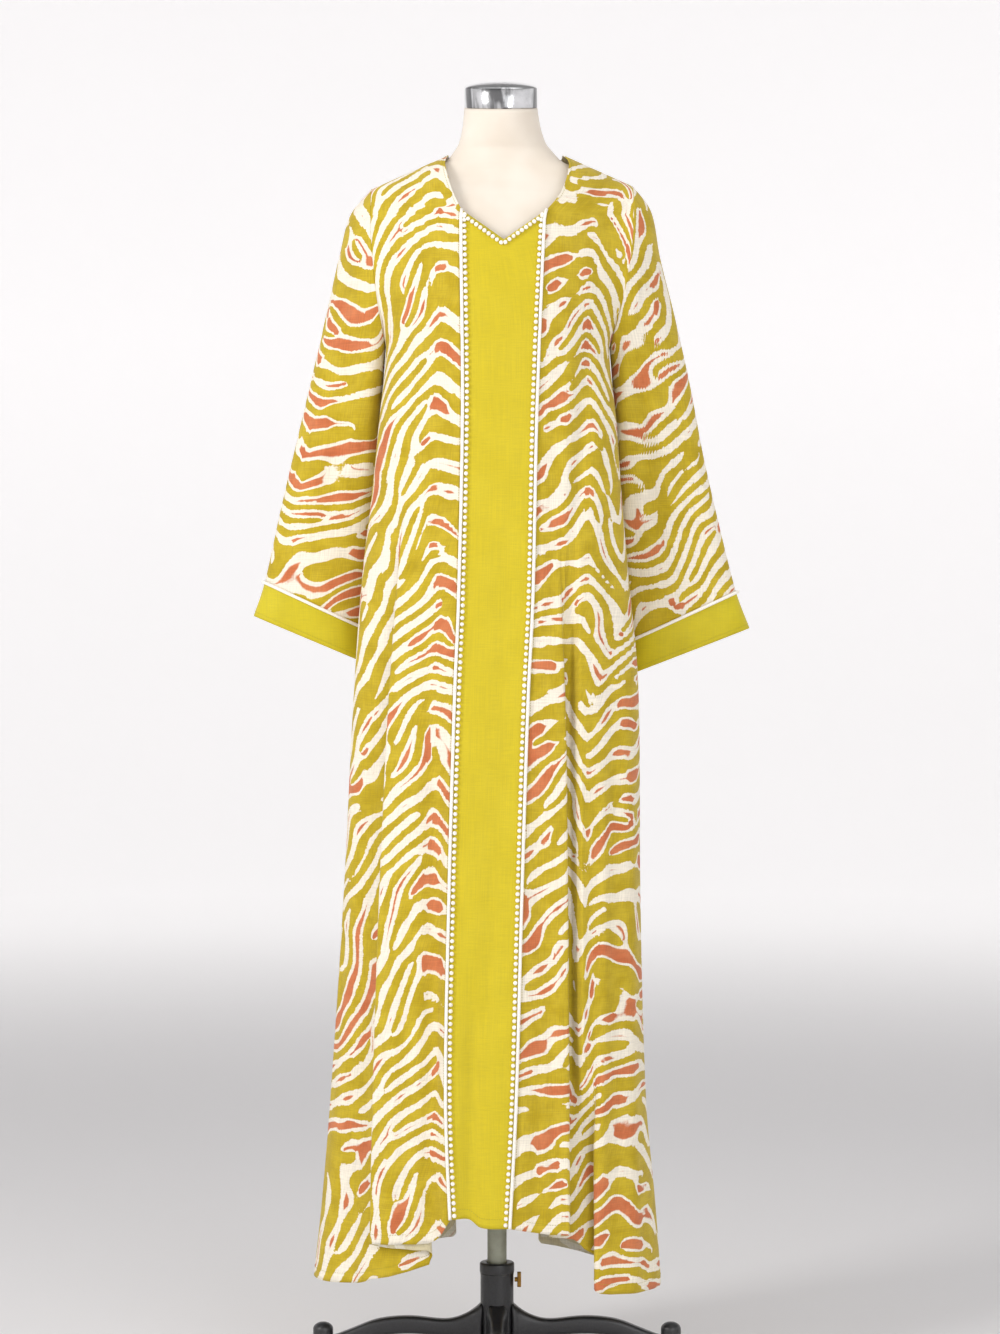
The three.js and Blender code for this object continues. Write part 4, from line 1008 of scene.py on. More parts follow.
def lime_look(name, low, high, paler=False):
    """Plain lime cloth with upright slubs and a soft sheen."""
    look = Look(name)
    place = look.cloth_place()
    height, slubs = weave(look, place, 0.06, 0.02)
    colour = look.mottled(look.noise(place, 0.05), linear(low), linear(high))
    if paler:
        colour = look.mix_colour(0.15, colour, linear(PALE))
    return woven(look, colour, height, slubs, threads=(0.92, 1.05), gloss=(0.5, 0.66), relief=0.00022,
                 Sheen_Weight=0.25, Sheen_Roughness=0.4, Specular_IOR_Level=0.3)


def grained_look(name, colours, grain, gloss, relief, drift=None, **constants):
    """A colour that drifts between two, with a fine grain in its gloss and height."""
    look = Look(name)
    place = look.object_place()
    fine = look.noise(place, *grain)
    wash = look.noise(place, drift) if drift else fine
    if isinstance(gloss, tuple):
        gloss = look.ramp(fine, *EVEN_NOISE, *gloss)
    look.set(Base_Color=look.mottled(wash, *colours), Roughness=gloss, **constants)
    look.bump(fine, *relief)
    return look.material


def metal_look(name, code, roughness, spread, scratch=(1.0, 1.0, 1.0), painted_reflection_darkness=0.0, metallic=1.0):
    """Bare metal with brushing and smudges, and, if asked for, painted dark reflections as upright streaks on
    its sides.
    """
    look = Look(name)
    place = look.object_place()
    brushed = look.noise(look.scaled(place, *scratch), 0.0015, 2.0, 0.6)
    smudge = look.noise(place, 0.02, 3.0, 0.6)
    colour = look.mix_colour(look.ramp(smudge, 0.35, 0.7), linear(code), linear(code, 0.82))
    # Painted reflection: dark upright streaks mixed into the base colour on the sides, in place of dark
    # surroundings mirrored in the metal
    if painted_reflection_darkness:
        upright = look.noise(look.scaled(place, 1.0, 1.0, 0.03), 0.014)
        normal = look.add("ShaderNodeNewGeometry").outputs["Normal"]
        reflection_on_sides = look.ramp(look.parts(normal)["Z"], 0.5, 0.9, 1.0, 0.12)
        share = look.times(look.ramp(upright, 0.47, 0.6), reflection_on_sides)
        colour = look.mix_colour(share, colour, linear(code, 1 - painted_reflection_darkness))
    both = look.math("ADD", look.times(brushed, 0.4), look.times(smudge, 0.6))
    gloss = look.ramp(both, 0.35, 0.65, roughness, roughness + spread)
    look.set(Base_Color=colour, Metallic=metallic, Roughness=gloss)
    look.bump(brushed, 0.00003, 0.3)
    return look.material


def iron_look():
    """Black paint on cast iron, with a grainy cast surface and lighter worn edges."""
    look = Look("black_iron")
    place = look.object_place()
    cast = look.noise(place, 0.0022, 3.0, 0.6)
    worn = look.noise(place, 0.018, 3.0, 0.6)
    pointed = look.add("ShaderNodeNewGeometry").outputs["Pointiness"]
    edges = look.times(look.ramp(pointed, 0.52, 0.6), look.ramp(worn, 0.45, 0.7))
    colour = look.mottled(cast, linear("#131315"), linear("#232326"))
    colour = look.mix_colour(look.times(edges, 0.5), colour, linear("#5c5852"))
    gloss = look.ramp(cast, *EVEN_NOISE, 0.34, 0.52)
    look.set(Base_Color=colour, Roughness=gloss, Coat_Weight=0.25, Coat_Roughness=0.3)
    look.bump(cast, 0.0006, 0.5)
    return look.material


PRINTED = printed_look("printed_cloth", False)
PRINTED_REVERSE = printed_look("printed_cloth_reverse", True)
LIME = lime_look("lime_cloth", "#c7b319", "#cbb71e")
LIME_REVERSE = lime_look("lime_cloth_reverse", "#b8a41a", "#c4af22", True)
CUFF_LIME = lime_look("cuff_cloth", "#c0af14", "#cab91c")
PIPING = grained_look(
    "white_piping", [linear("#e9e2d6"), linear("#faf7f0")],
    grain=(0.0012, 2.0, 0.6), gloss=(0.6, 0.8), relief=(0.0002, 0.5), Sheen_Weight=0.2,
)
PEARL = grained_look(
    "pearl", [linear("#f1e9d9"), linear("#fbf8f1")],
    grain=(0.006, 2.0, 0.5), gloss=(0.16, 0.26), relief=(0.00005, 0.3),
    Coat_Weight=0.5, Coat_Roughness=0.12, Sheen_Weight=0.15,
    Subsurface_Weight=0.1, Subsurface_Radius=(0.002, 0.0015, 0.001),
)
LIME_THREAD = grained_look(
    "lime_thread", [linear("#a9a01c", 0.8), linear("#a9a01c")],
    grain=(0.0004, 1.0, 0.5), gloss=0.55, relief=(0.00008, 0.5),
)
JERSEY = grained_look(
    "form_jersey", [linear("#ded3c4"), linear("#e5dccf")],
    grain=(0.0011, 2.0, 0.6), gloss=(0.6, 0.78), relief=(0.00015, 0.5), drift=0.06,
    Sheen_Weight=0.3, Sheen_Roughness=0.4,
)
# The chrome cap's colour has painted dark reflections as upright streaks on its sides
CHROME = metal_look("chrome", "#dfe0e2", 0.12, 0.1, painted_reflection_darkness=0.75)
STEEL = metal_look("steel", "#a3a594", 0.4, 0.16, (1.0, 1.0, 0.05), metallic=0.3)
BRASS = metal_look("brass", "#b78b45", 0.26, 0.16)
IRON = iron_look()


# The print: wavy bands whose places come from a smooth field over the cloth

LATTICE = 64
REPEAT = 575
BANDS = 17
STRIPE_PERIOD = REPEAT / BANDS
FORK_STEP = 62
FORK_SCATTER = 0.4
ZIGZAG_ROUNDING = 7

# Half widths of the white bands and of the coral in them, and what changes them
WHITE_HALF_LEAST = 2.2
WHITE_SHARE = 0.26
WHITE_HALF_MOST = 12
WHITE_HALF_KEPT = 3.6
LIME_HALF_LEAST = 4.2
WHITE_MARGIN = 3.8
ISLAND_SWELL = 6.5
CORAL_START = 0.9
CORAL_GROWTH = 2.2
PINCH = 9

# How the bands move, in order of size: how far, how wide, and how many in a repeat
SWAY = dict(by=14, width=150, count=5, seed=6)
STEEPNESS = dict(by=0.25, width=200, count=4, seed=7)
WARP = dict(by=26, width=92, count=6, seed=0)
RIPPLE = dict(by=9, width=36, count=14, seed=1)


def lattice_noise(x, y, seed, rows=LATTICE):
    """Smooth noise from -1 to 1 on a grid of seeded values, which repeats after some rows."""
    values = np.random.default_rng(seed).uniform(-1, 1, (LATTICE, LATTICE))
    column = np.floor(x).astype(int)
    row = np.floor(y).astype(int)
    u = smooth_step(0, 1, x - column)
    v = smooth_step(0, 1, y - row)

    def at(r, c):
        return values[np.mod(r, rows), np.mod(c, LATTICE)]

    low = mix(at(row, column), at(row, column + 1), u)
    high = mix(at(row + 1, column), at(row + 1, column + 1), u)
    return mix(low, high, v)


def drift(x, z, kind, seed):
    count = kind["count"]
    return kind["by"] * lattice_noise(x / kind["width"], z / (REPEAT / count), seed + kind["seed"], count)


def band_count(x, z, rise, seed):
    """How many bands lie below a place, as a smooth number."""
    sway = drift(x, z, SWAY, seed)
    steepness = 1 + drift(x, z, STEEPNESS, seed)
    warp = drift(x, z, WARP, seed) + drift(x, z, RIPPLE, seed)
    return (z - steepness * rise(x + sway) + warp) / STRIPE_PERIOD


def half_distance(x, z, rise, seed, plain):
    """Half the distance between bands at each place."""
    step = 0.5
    least_slope = 0.012
    across = (band_count(x + step, z, rise, seed) - plain) / step
    upward = (band_count(x, z + step, rise, seed) - plain) / step
    return 0.5 / np.maximum(np.hypot(across, upward), least_slope)


def stripe_field(x, z, rise, forks, seed):
    """The bands' phase as a cosine and sine, and the half widths of the white and the coral.

    The widths are shares of half the distance between bands, and the last value is the
    share that a millimetre is. A band swells here and there, and there its middle is coral.
    """
    plain = band_count(x, z, rise, seed)
    half = half_distance(x, z, rise, seed, plain)
    phase = 2 * math.pi * plain
    for fork_x, fork_z, turn in forks:
        phase = phase + turn * np.arctan2(z - fork_z, x - fork_x)
    along = lattice_noise(x / 34 + 0.37 * z / 34, plain + 0.5, seed + 2, BANDS)
    even = WHITE_HALF_LEAST + WHITE_SHARE * half
    thick = even * (1 + 0.5 * lattice_noise(x / 21 + 0.3 * z / 21, z / 25, seed + 3))
    swell = smooth_step(-0.05, 0.4, along) * smooth_step(4, 7, half)
    most = np.maximum(half - LIME_HALF_LEAST, WHITE_HALF_KEPT)
    white = np.minimum(np.minimum(thick + ISLAND_SWELL * swell, most), WHITE_HALF_MOST)
    coral = np.minimum(CORAL_GROWTH * (white - even - CORAL_START), white - WHITE_MARGIN)
    thin = lattice_noise(x / 44, plain + 7.5, seed + 4, BANDS)
    pinch = PINCH * smooth_step(-0.5, -0.8, thin)
    shares = np.stack([(white - pinch) / half, (coral - pinch) / half, 1 / half], axis=-1)
    turns = np.stack([np.cos(phase), np.sin(phase), np.zeros_like(phase)], axis=-1)
    return turns, shares


def scattered_forks(across, heights, seed):
    """Places where a band forks or ends, unevenly spaced, the same in every repeat."""
    chance = np.random.default_rng(seed)
    rows = int(round(REPEAT / FORK_STEP))
    columns = int(math.ceil((across[1] - across[0]) / FORK_STEP))
    places = []
    for row in range(rows):
        for column in range(columns):
            moved = column + (row % 2) / 2
            x = across[0] + moved * FORK_STEP + chance.uniform(-FORK_SCATTER, FORK_SCATTER) * FORK_STEP
            z = (row + chance.uniform(-FORK_SCATTER, FORK_SCATTER)) * REPEAT / rows
            places.append((x, z, 1 if (row + column) % 2 else -1))
    first = math.floor(heights[0] / REPEAT)
    last = math.ceil(heights[1] / REPEAT)
    return [(x, z + i * REPEAT, turn) for i in range(first, last + 1) for x, z, turn in places]


def zigzag(corners):
    """A line of straight slopes through corner points, with its corners a little rounded."""
    xs, rises = np.array(corners, float).T

    def rise(x):
        offsets = ((-ZIGZAG_ROUNDING, 0.25), (0, 0.5), (ZIGZAG_ROUNDING, 0.25))
        return sum(weight * np.interp(x + offset, xs, rises) for offset, weight in offsets)

    return rise


# How the bands rise and fall across each piece, outwards from its inner edge, and its forks
BODY_HEIGHTS = (-1250, 300)
SLEEVE_HEIGHTS = (-450, 220)
SLEEVE_DENSER = 1.12
PRINTS = {
    "front_right": dict(across=(-20, 400), fork_seed=11, seed=21, rises=[
        [-40, -18], [0, 0], [33, 16], [80, -44], [150, -128], [230, -215], [300, -290], [420, -400],
    ]),
    "front_left": dict(across=(-20, 400), fork_seed=12, seed=31, rises=[
        [-40, -18], [0, 0], [40, 22], [74, 50], [112, 2], [134, -24], [176, 26], [230, 22], [300, 6],
        [420, -30],
    ]),
    "back": dict(across=(-460, 460), fork_seed=13, seed=47, rises=[
        [-480, -90], [-360, 10], [-250, -70], [-150, 40], [-70, -30], [0, 40], [75, -40], [160, 36],
        [260, -80], [370, 10], [480, -80],
    ]),
    RIGHT: dict(across=(-120, 460), fork_seed=16, seed=58, lean=0.22, rises=[
        [-60, 16], [0, 0], [70, -14], [118, 44], [165, 60], [215, 0], [260, -20], [330, 30], [420, 0],
    ]),
    LEFT: dict(across=(-120, 460), fork_seed=18, seed=68, lean=0.12, rises=[
        [-60, 0], [0, 0], [34, 8], [84, 96], [150, 160], [200, 130], [250, 40], [330, 10], [420, 0],
    ]),
}


def printed_field(x, z, recipe, heights):
    forks = scattered_forks(recipe["across"], heights, recipe["fork_seed"])
    return stripe_field(x, z, zigzag(recipe["rises"]), forks, recipe["seed"])


def body_stripes(panel, along, up):
    """The print on a body panel, measured outwards from its inner seam or its middle."""
    outward = {"front_right": along[:, -1:] - along, "front_left": along, "back": along - along[:, -1:] / 2}
    return printed_field(outward[panel], up, PRINTS[panel], BODY_HEIGHTS)


def sleeve_stripes(side, around, up):
    recipe = PRINTS[side]
    return printed_field(around + recipe["lean"] * up, SLEEVE_DENSER * up, recipe, SLEEVE_HEIGHTS)


# The garment

GRIDS = {panel: panel_grid(panel) for panel in FOLDS}


def grid_normals(grid):
    return unit(np.cross(np.gradient(grid, axis=1), np.gradient(grid, axis=0)))


def draw_in_edges(grid):
    """Draws a panel's two side edges in by half a seam gap."""
    trimmed = grid.copy()
    half = SEAM_GAP / 2
    trimmed[:, 0] += unit(grid[:, 1] - grid[:, 0]) * half
    trimmed[:, -1] += unit(grid[:, -2] - grid[:, -1]) * half
    return trimmed


def cloth_piece(node, grid, flipped, lengths, stripes, lime):
    """One piece of cloth, with its weave, print, thickness and flat size."""
    looks = [PRINTED, PRINTED_REVERSE] if stripes else [lime, LIME_REVERSE]
    made = mesh_object("cloth_" + node, grid, grid_faces(*grid.shape[:2], flipped), looks)
    add_uv(made, *lengths)
    if stripes:
        add_stripes(made, *stripes)
    add_thickness(made, CLOTH_THICKNESS)
    finish_piece(made, "form", "printed_cloth" if stripes else "lime_cloth", node)


def body_piece(panel):
    grid = GRIDS[panel]
    lengths = cloth_lengths(grid, SKIRT_STEPS)
    stripes = body_stripes(panel, *lengths) if panel in PRINTS else None
    cloth_piece(panel, draw_in_edges(grid), False, lengths, stripes, LIME)


def sleeve_piece(side):
    grid = sleeve_grid(side, np.linspace(0, 1 - CUFF_GAP, SLEEVE_STEPS + 1))
    lengths = sleeve_lengths(grid)
    stripes = sleeve_stripes(side, *lengths)
    node = "sleeve_" + SIDE_WORDS[side]
    cloth_piece(node, grid, side == LEFT, lengths, stripes, None)


def cuff_piece(side):
    grid = sleeve_grid(side, np.linspace(1, CUFF_END, CUFF_STEPS + 1))
    lengths = sleeve_lengths(grid)
    node = "cuff_" + SIDE_WORDS[side]
    cloth_piece(node, grid, side == LEFT, lengths, None, CUFF_LIME)


# Piping, pearls and stitches

PIPING_SIDES = 10
PEARL_RINGS = 8
PEARL_SIDES = 12
PEARL_SIZES = (0.95, 1.03)
PEARL_SEAT = 0.9
PEARL_SEED = 5
PEARL_NECK_SEED = 9
STITCH_RINGS = 4
STITCH_SIDES = 6
STITCH_LENGTHS = (0.9, 1.05)
STITCH_LEAN = 0.08
CUFF_STITCH_SEED = 78

# Rows of sewing: the panel, how far in from which of its edges, and a seed
SEWING = {
    "hem_front_right": ("front_right", HEM_DEPTH, "bottom", 71),
    "hem_front_left": ("front_left", HEM_DEPTH, "bottom", 71),
    "hem_back": ("back", HEM_DEPTH, "bottom", 71),
    "edge_right": ("front_right", EDGE_INSET, "last", 73),
    "edge_left": ("front_left", EDGE_INSET, "first", 74),
    "hem_centre": ("centre_panel", HEM_DEPTH, "bottom", 75),
    "neck_front": ("centre_panel", EDGE_INSET, "top", 76),
    "neck_back": ("back", EDGE_INSET, "top", 77),
}


def tube_points(middles, ups, closed, radius, sides):
    if closed:
        wide = np.concatenate([middles[-1:], middles, middles[:1]])
    else:
        wide = np.concatenate([2 * middles[:1] - middles[1:2], middles, 2 * middles[-1:] - middles[-2:-1]])
    along = unit(wide[2:] - wide[:-2])
    across = unit(np.cross(along, ups))
    out = np.cross(across, along)
    turns = 2 * math.pi * np.arange(sides) / sides
    around = across[:, None] * np.cos(turns)[None, :, None] + out[:, None] * np.sin(turns)[None, :, None]
    return middles[:, None] + radius * around


def tube_faces(rows, sides, closed=False):
    faces = []
    for r in range(rows if closed else rows - 1):
        after = (r + 1) % rows
        for s in range(sides):
            turn = (s + 1) % sides
            faces.append((r * sides + s, after * sides + s, after * sides + turn, r * sides + turn))
    return faces


def end_faces(rows, sides):
    """The two faces that close a tube's ends."""
    last = (rows - 1) * sides
    return [tuple(range(sides)), tuple(last + s for s in reversed(range(sides)))]


def flipped(faces):
    """The same faces seen from their other side, each from the same first point."""
    return [face[:1] + face[:0:-1] for face in faces]


def piping(node, middles, ups, closed):
    """A cord that lies on a seam, its middle line raised from the seam's points."""
    raised = middles + ups * (PIPING_RADIUS + PIPING_CLEARANCE)
    points = tube_points(raised, ups, closed, PIPING_RADIUS, PIPING_SIDES)
    faces = tube_faces(len(raised), PIPING_SIDES, closed)
    if not closed:
        faces += end_faces(len(raised), PIPING_SIDES)
    made = mesh_object("cord_" + node, points, faces, [PIPING])
    return finish_piece(made, "form", "white_piping", node)


def seam_piping(side):
    grid = GRIDS["centre_panel"]
    column = 0 if side == RIGHT else -1
    ups = grid_normals(grid)[:, column]
    piping("panel_piping_" + SIDE_WORDS[side], grid[:, column], ups, False)


def cuff_piping(side):
    grid = sleeve_grid(side, [0.995, 1, 1.005])[:, :-1]
    around = np.roll(grid[1], -1, axis=0) - np.roll(grid[1], 1, axis=0)
    ups = unit(np.cross(around, grid[2] - grid[0])) * -side
    piping("cuff_piping_" + SIDE_WORDS[side], grid[1], ups, True)


def at_lengths(at, lengths, values):
    return np.stack([np.interp(at, lengths, column) for column in values.T], axis=-1)


def even_places(line, normals, pitch, start):
    """Places every pitch along a line of points, with their outward directions."""
    lengths = run_lengths(np.linalg.norm(np.diff(line, axis=0), axis=1), 0)
    whole = lengths[-1] - 2 * start
    count = int(whole / pitch)
    at = start + np.arange(count + 1) * whole / count
    return at_lengths(at, lengths, line), unit(at_lengths(at, lengths, normals))


def inner_line(grid, inset, edge):
    """The line at a set distance in from one edge of a grid, and the outward directions there."""
    both = np.concatenate([grid, grid_normals(grid)], axis=-1)
    if edge in ("bottom", "top"):
        both = both.transpose(1, 0, 2)
    if edge in ("last", "top"):
        both = both[:, ::-1]
    line = []
    for row in both:
        lengths = run_lengths(np.linalg.norm(np.diff(row[:, :3], axis=0), axis=1), 0)
        line.append(at_lengths(inset, lengths, row))
    line = np.array(line)
    return line[:, :3], unit(line[:, 3:])


def round_section(sides):
    return np.linspace(0, 2 * math.pi, sides, endpoint=False)


def turned_points(profile, sides, knurl=None):
    """A profile of radius and height, turned, from a first point on the axis to a last one."""
    turns = round_section(sides)
    points = [(0, 0, profile[0][1])]
    for radius, height in profile[1:-1]:
        ridges = np.ones(sides)
        if knurl and radius > knurl["beyond"]:
            ridges = 1 + knurl["depth"] * np.cos(knurl["count"] * turns)
        for turn, ridge in zip(turns, ridges):
            points.append((radius * ridge * math.cos(turn), radius * ridge * math.sin(turn), height))
    points.append((0, 0, profile[-1][1]))
    return np.array(points, float)


def turned_faces(rings, sides):
    """Faces from a first point over rings of points to a last point, which is lower."""
    last = rings * sides + 1
    faces = []
    for s in range(sides):
        after = (s + 1) % sides
        faces.append((0, 1 + s, 1 + after))
        faces.append((last, last - sides + after, last - sides + s))
        for r in range(rings - 1):
            a = 1 + r * sides
            faces.append((a + s, a + sides + s, a + sides + after, a + after))
    return faces


def ball(rings, sides):
    """A unit ball's points and faces."""
    profile = [(math.sin(t), math.cos(t)) for t in np.linspace(0, math.pi, rings + 1)]
    return turned_points(profile, sides), turned_faces(rings - 1, sides)


def joined_copies(name, points, faces, places, frames, material):
    """One mesh of many copies of a small shape, each in its own place and frame."""
    all_points = places[:, None] + np.einsum("pk,nkj->npj", points, frames)
    all_faces = []
    for i in range(len(places)):
        first = i * len(points)
        all_faces.extend(tuple(first + v for v in face) for face in faces)
    return mesh_object(name, all_points, all_faces, [material])


def pearl_row(name, inset, edge, pitch, seed):
    """Pearls that sit on the centre panel, each a little different in size."""
    line, ups = inner_line(GRIDS["centre_panel"], inset, edge)
    places, ups = even_places(line, ups, pitch, PEARL_END)
    sizes = PEARL_RADIUS * np.random.default_rng(seed).uniform(*PEARL_SIZES, len(places))
    frames = np.eye(3)[None] * sizes[:, None, None]
    middles = places + ups * (sizes * PEARL_SEAT)[:, None]
    points, faces = ball(PEARL_RINGS, PEARL_SIDES)
    finish_piece(joined_copies(name, points, faces, middles, frames, PEARL), "form", "white_piping")


def pearls():
    pearl_row("pearls_right", PEARL_INSET, "first", PEARL_PITCH, PEARL_SEED + RIGHT)
    pearl_row("pearls_left", PEARL_INSET, "last", PEARL_PITCH, PEARL_SEED + LEFT)
    pearl_row("pearls_neck", PEARL_NECK_DROP, "top", PEARL_NECK_PITCH, PEARL_NECK_SEED)


def stitches(name, line, ups, seed):
    """A row of small stitches that lie on the cloth."""
    chance = np.random.default_rng(seed)
    places, normals = even_places(line, ups, STITCH_PITCH, STITCH_PITCH)
    along = unit(np.gradient(places, axis=0))
    across = unit(np.cross(normals, along))
    lean = chance.uniform(-STITCH_LEAN, STITCH_LEAN, len(places))[:, None]
    along = unit(along + across * lean)
    lengths = STITCH_LENGTH / 2 * chance.uniform(*STITCH_LENGTHS, len(places))[:, None]
    frames = np.stack([along * lengths, across * THREAD_RADIUS, normals * THREAD_RADIUS], axis=1)
    points, faces = ball(STITCH_RINGS, STITCH_SIDES)
    middles = places + normals * THREAD_RADIUS * 0.5
    made = joined_copies("stitches_" + name, points[:, [2, 0, 1]], faces, middles, frames, LIME_THREAD)
    finish_piece(made, "form", "printed_cloth")


def sewing():
    """Stitches along the hems, the front edges, the back neck and the cuffs."""
    for name, (panel, inset, edge, seed) in SEWING.items():
        line, ups = inner_line(GRIDS[panel], inset, edge)
        if name == "neck_back":
            neck = np.abs(line[:, 0] - NECK_MIDDLE_X) < BACK_NECK_HALF_WIDTH
            line, ups = line[neck], ups[neck]
        stitches(name, line, ups, seed)
    for side in (RIGHT, LEFT):
        grid = sleeve_grid(side, np.linspace(1, CUFF_END, CUFF_STEPS + 1))
        line, ups = inner_line(grid, CUFF_HEM, "top")
        outward = np.sum(ups * (line - line.mean(axis=0)), axis=1, keepdims=True)
        stitches("cuff_" + SIDE_WORDS[side], line, ups * np.sign(outward), CUFF_STITCH_SEED + side)


# The dress form and its stand

FORM_SIDES = 96
FORM_ROWS = 140
FORM_BOTTOM = 800
CAP_SHOULDER = CAP_HEIGHT - 1
LEG_TURNS = {"left": 0, "back": math.pi / 2, "right": math.pi, "front": -math.pi / 2}


def torso():
    even = np.linspace(FORM_BOTTOM, NECK_END, FORM_ROWS)
    heights = np.unique(np.concatenate([even, FORM_LEVELS["height"]]))
    names = ["centreX", "halfWidth", "front", "back"]
    x0, wide, front, back = (read_table(FORM_LEVELS, "height", name, heights)[:, None] for name in names)
    turns = round_section(FORM_SIDES)[None, :]
    lean = math.tan(CAP_TILT) * smooth_step(NECK_BASE, NECK_END, heights)[:, None]
    y = (back - front) / 2 * np.sin(turns)
    x = x0 + wide * np.cos(turns)
    z = heights[:, None] + lean * y
    points = np.stack([x, (front + back) / 2 + y, z], axis=-1)
    faces = flipped(tube_faces(len(heights), FORM_SIDES))
    faces += [face[::-1] for face in end_faces(len(heights), FORM_SIDES)]
    finish_piece(mesh_object("torso", points, faces, [JERSEY]), "form", "form_jersey", "form_torso")


def turned(name, profile, sides, material, turn=None, move=(0, 0, 0), knurl=None):
    """A round solid from a profile of radius and height that rises."""
    points = turned_points(profile, sides, knurl)
    if turn is not None:
        points = points @ np.array(turn, float).T
    faces = flipped(turned_faces(len(profile) - 2, sides))
    return mesh_object(name, points + np.array(move, float), faces, [material])


def rounded(profile, radius, steps=4):
    """The same profile with each inner corner cut to an arc."""
    profile = [np.array(p, float) for p in profile]
    points = [profile[0]]
    for before, corner, after in zip(profile, profile[1:], profile[2:]):
        back = before - corner
        on = after - corner
        reach = min(radius, np.linalg.norm(back) / 2, np.linalg.norm(on) / 2)
        start = corner + unit(back) * reach
        end = corner + unit(on) * reach
        for i in range(steps + 1):
            t = i / steps
            points.append((1 - t) ** 2 * start + 2 * t * (1 - t) * corner + t * t * end)
    points.append(profile[-1])
    return points


def dome(radius, base, height, turns):
    return [[radius * math.cos(t), base + height * math.sin(t)] for t in turns]


def cap():
    arc = dome(CAP_RADIUS, CAP_SHOULDER, CAP_DOME, np.linspace(0.12, math.pi / 2, 12))
    arc[-1] = [0, CAP_SHOULDER + CAP_DOME]
    profile = rounded([[0, 0], [CAP_RADIUS, 0], [CAP_RADIUS, CAP_SHOULDER]], 1.5)[:-1] + arc
    c = math.cos(CAP_TILT)
    s = math.sin(CAP_TILT)
    middle = (FORM_LEVELS["front"][-1] + FORM_LEVELS["back"][-1]) / 2
    move = [FORM_LEVELS["centreX"][-1], middle, NECK_END + SEAT_GAP / c]
    made = turned("cap", profile, FORM_SIDES, CHROME, [[1, 0, 0], [0, c, -s], [0, s, c]], move)
    finish_piece(made, "form", "chrome", "neck_cap")


def pole():
    top = FORM_BOTTOM - SEAT_GAP
    flange = top - FLANGE_THICKNESS
    profile = rounded([
        [0, POLE_BOTTOM], [POLE_RADIUS, POLE_BOTTOM], [POLE_RADIUS, flange],
        [FLANGE_RADIUS, flange], [FLANGE_RADIUS, top], [0, top],
    ], 1.2)
    finish_piece(turned("mast_pole", profile, 48, STEEL), "mast", "steel", "pole")


def hub():
    """The cast tube that the pole stands in, with a rolled collar."""
    bore = POLE_RADIUS + HUB_WALL_GAP
    waist = HUB_RADIUS - 1
    profile = rounded([
        [0, HUB_BOTTOM], [HUB_RADIUS, HUB_BOTTOM], [waist, HUB_BOTTOM + 30], [waist, HUB_TOP - 16],
        [HUB_RADIUS, HUB_TOP - 12], [HUB_RADIUS, HUB_TOP], [bore, HUB_TOP], [bore, HUB_FLOOR], [0, HUB_FLOOR],
    ], 3)
    finish_piece(turned("hub_tube", profile, 64, IRON), "stand", "black_iron", "stand_hub")


def squared(wave):
    """A cosine or sine drawn out towards the corners of a square."""
    return np.sign(wave) * np.abs(wave) ** ARM_ROUNDNESS


def arm(word, turn):
    """One bowed leg with rounded edges, that widens where it meets the hub."""
    reaches = np.linspace(HUB_RADIUS - 3, LEG_REACH - POST_RADIUS + 3, ARM_STATIONS)
    flare = np.exp(-(reaches - HUB_RADIUS) / ARM_FLARE_LENGTH)
    high = read_table(LEG_PROFILE, "reach", "top", reaches)
    top = np.convolve(np.pad(high, 3, "edge"), np.ones(7) / 7, "valid") + ARM_FLARE * flare
    low = read_table(LEG_PROFILE, "reach", "bottom", reaches)
    wide = LEG_HALF_WIDTH + ARM_FLARE * np.clip(flare, 0, 1)
    angles = round_section(ARM_SIDES)
    side = wide[:, None] * squared(np.cos(angles))
    height = (top + low)[:, None] / 2 + (top - low)[:, None] / 2 * squared(np.sin(angles))
    out = np.broadcast_to(reaches[:, None], side.shape)
    c = math.cos(turn)
    s = math.sin(turn)
    points = np.stack([out * c - side * s, out * s + side * c, height], axis=-1)
    faces = tube_faces(ARM_STATIONS, ARM_SIDES) + end_faces(ARM_STATIONS, ARM_SIDES)
    finish_piece(mesh_object("arm_" + word, points, faces, [IRON]), "stand", "black_iron", "leg_" + word)


def post(word, turn):
    """The round-topped post at the end of a leg."""
    base = POST_TOP - POST_DOME
    arc = dome(POST_RADIUS, base, POST_DOME, np.linspace(0, math.pi / 2, 9))
    arc[-1][0] = 0
    profile = rounded([[0, 0], [POST_RADIUS, 0], [POST_RADIUS, base]], 2)[:-1] + arc
    place = [LEG_REACH * math.cos(turn), LEG_REACH * math.sin(turn), 0]
    made = turned("post_" + word, profile, 48, IRON, move=place)
    finish_piece(made, "stand", "black_iron", "foot_" + word)


def screw():
    """The knurled brass screw that clamps the pole."""
    head = SCREW_SHANK_LENGTH + SCREW_HEAD_LENGTH
    profile = rounded([
        [0, 0], [SCREW_SHANK_RADIUS, 0], [SCREW_SHANK_RADIUS, SCREW_SHANK_LENGTH],
        [SCREW_HEAD_RADIUS, SCREW_SHANK_LENGTH], [SCREW_HEAD_RADIUS, head], [0, head],
    ], 0.8)
    turn = [[0, 0, 1], [0, 1, 0], [-1, 0, 0]]
    place = [HUB_RADIUS + SEAT_GAP, 0, SCREW_HEIGHT]
    knurl = dict(beyond=SCREW_HEAD_RADIUS - 1, count=30, depth=0.04)
    made = turned("screw", profile, 180, BRASS, turn, place, knurl)
    finish_piece(made, "stand", "brass", "thumb_screw")


for panel in GRIDS:
    body_piece(panel)
torso()
for side in (RIGHT, LEFT):
    sleeve_piece(side)
    cuff_piece(side)
    seam_piping(side)
    cuff_piping(side)
pearls()
sewing()
cap()
pole()
hub()
screw()
for word, turn in LEG_TURNS.items():
    arm(word, turn)
    post(word, turn)


# The studio, in metres

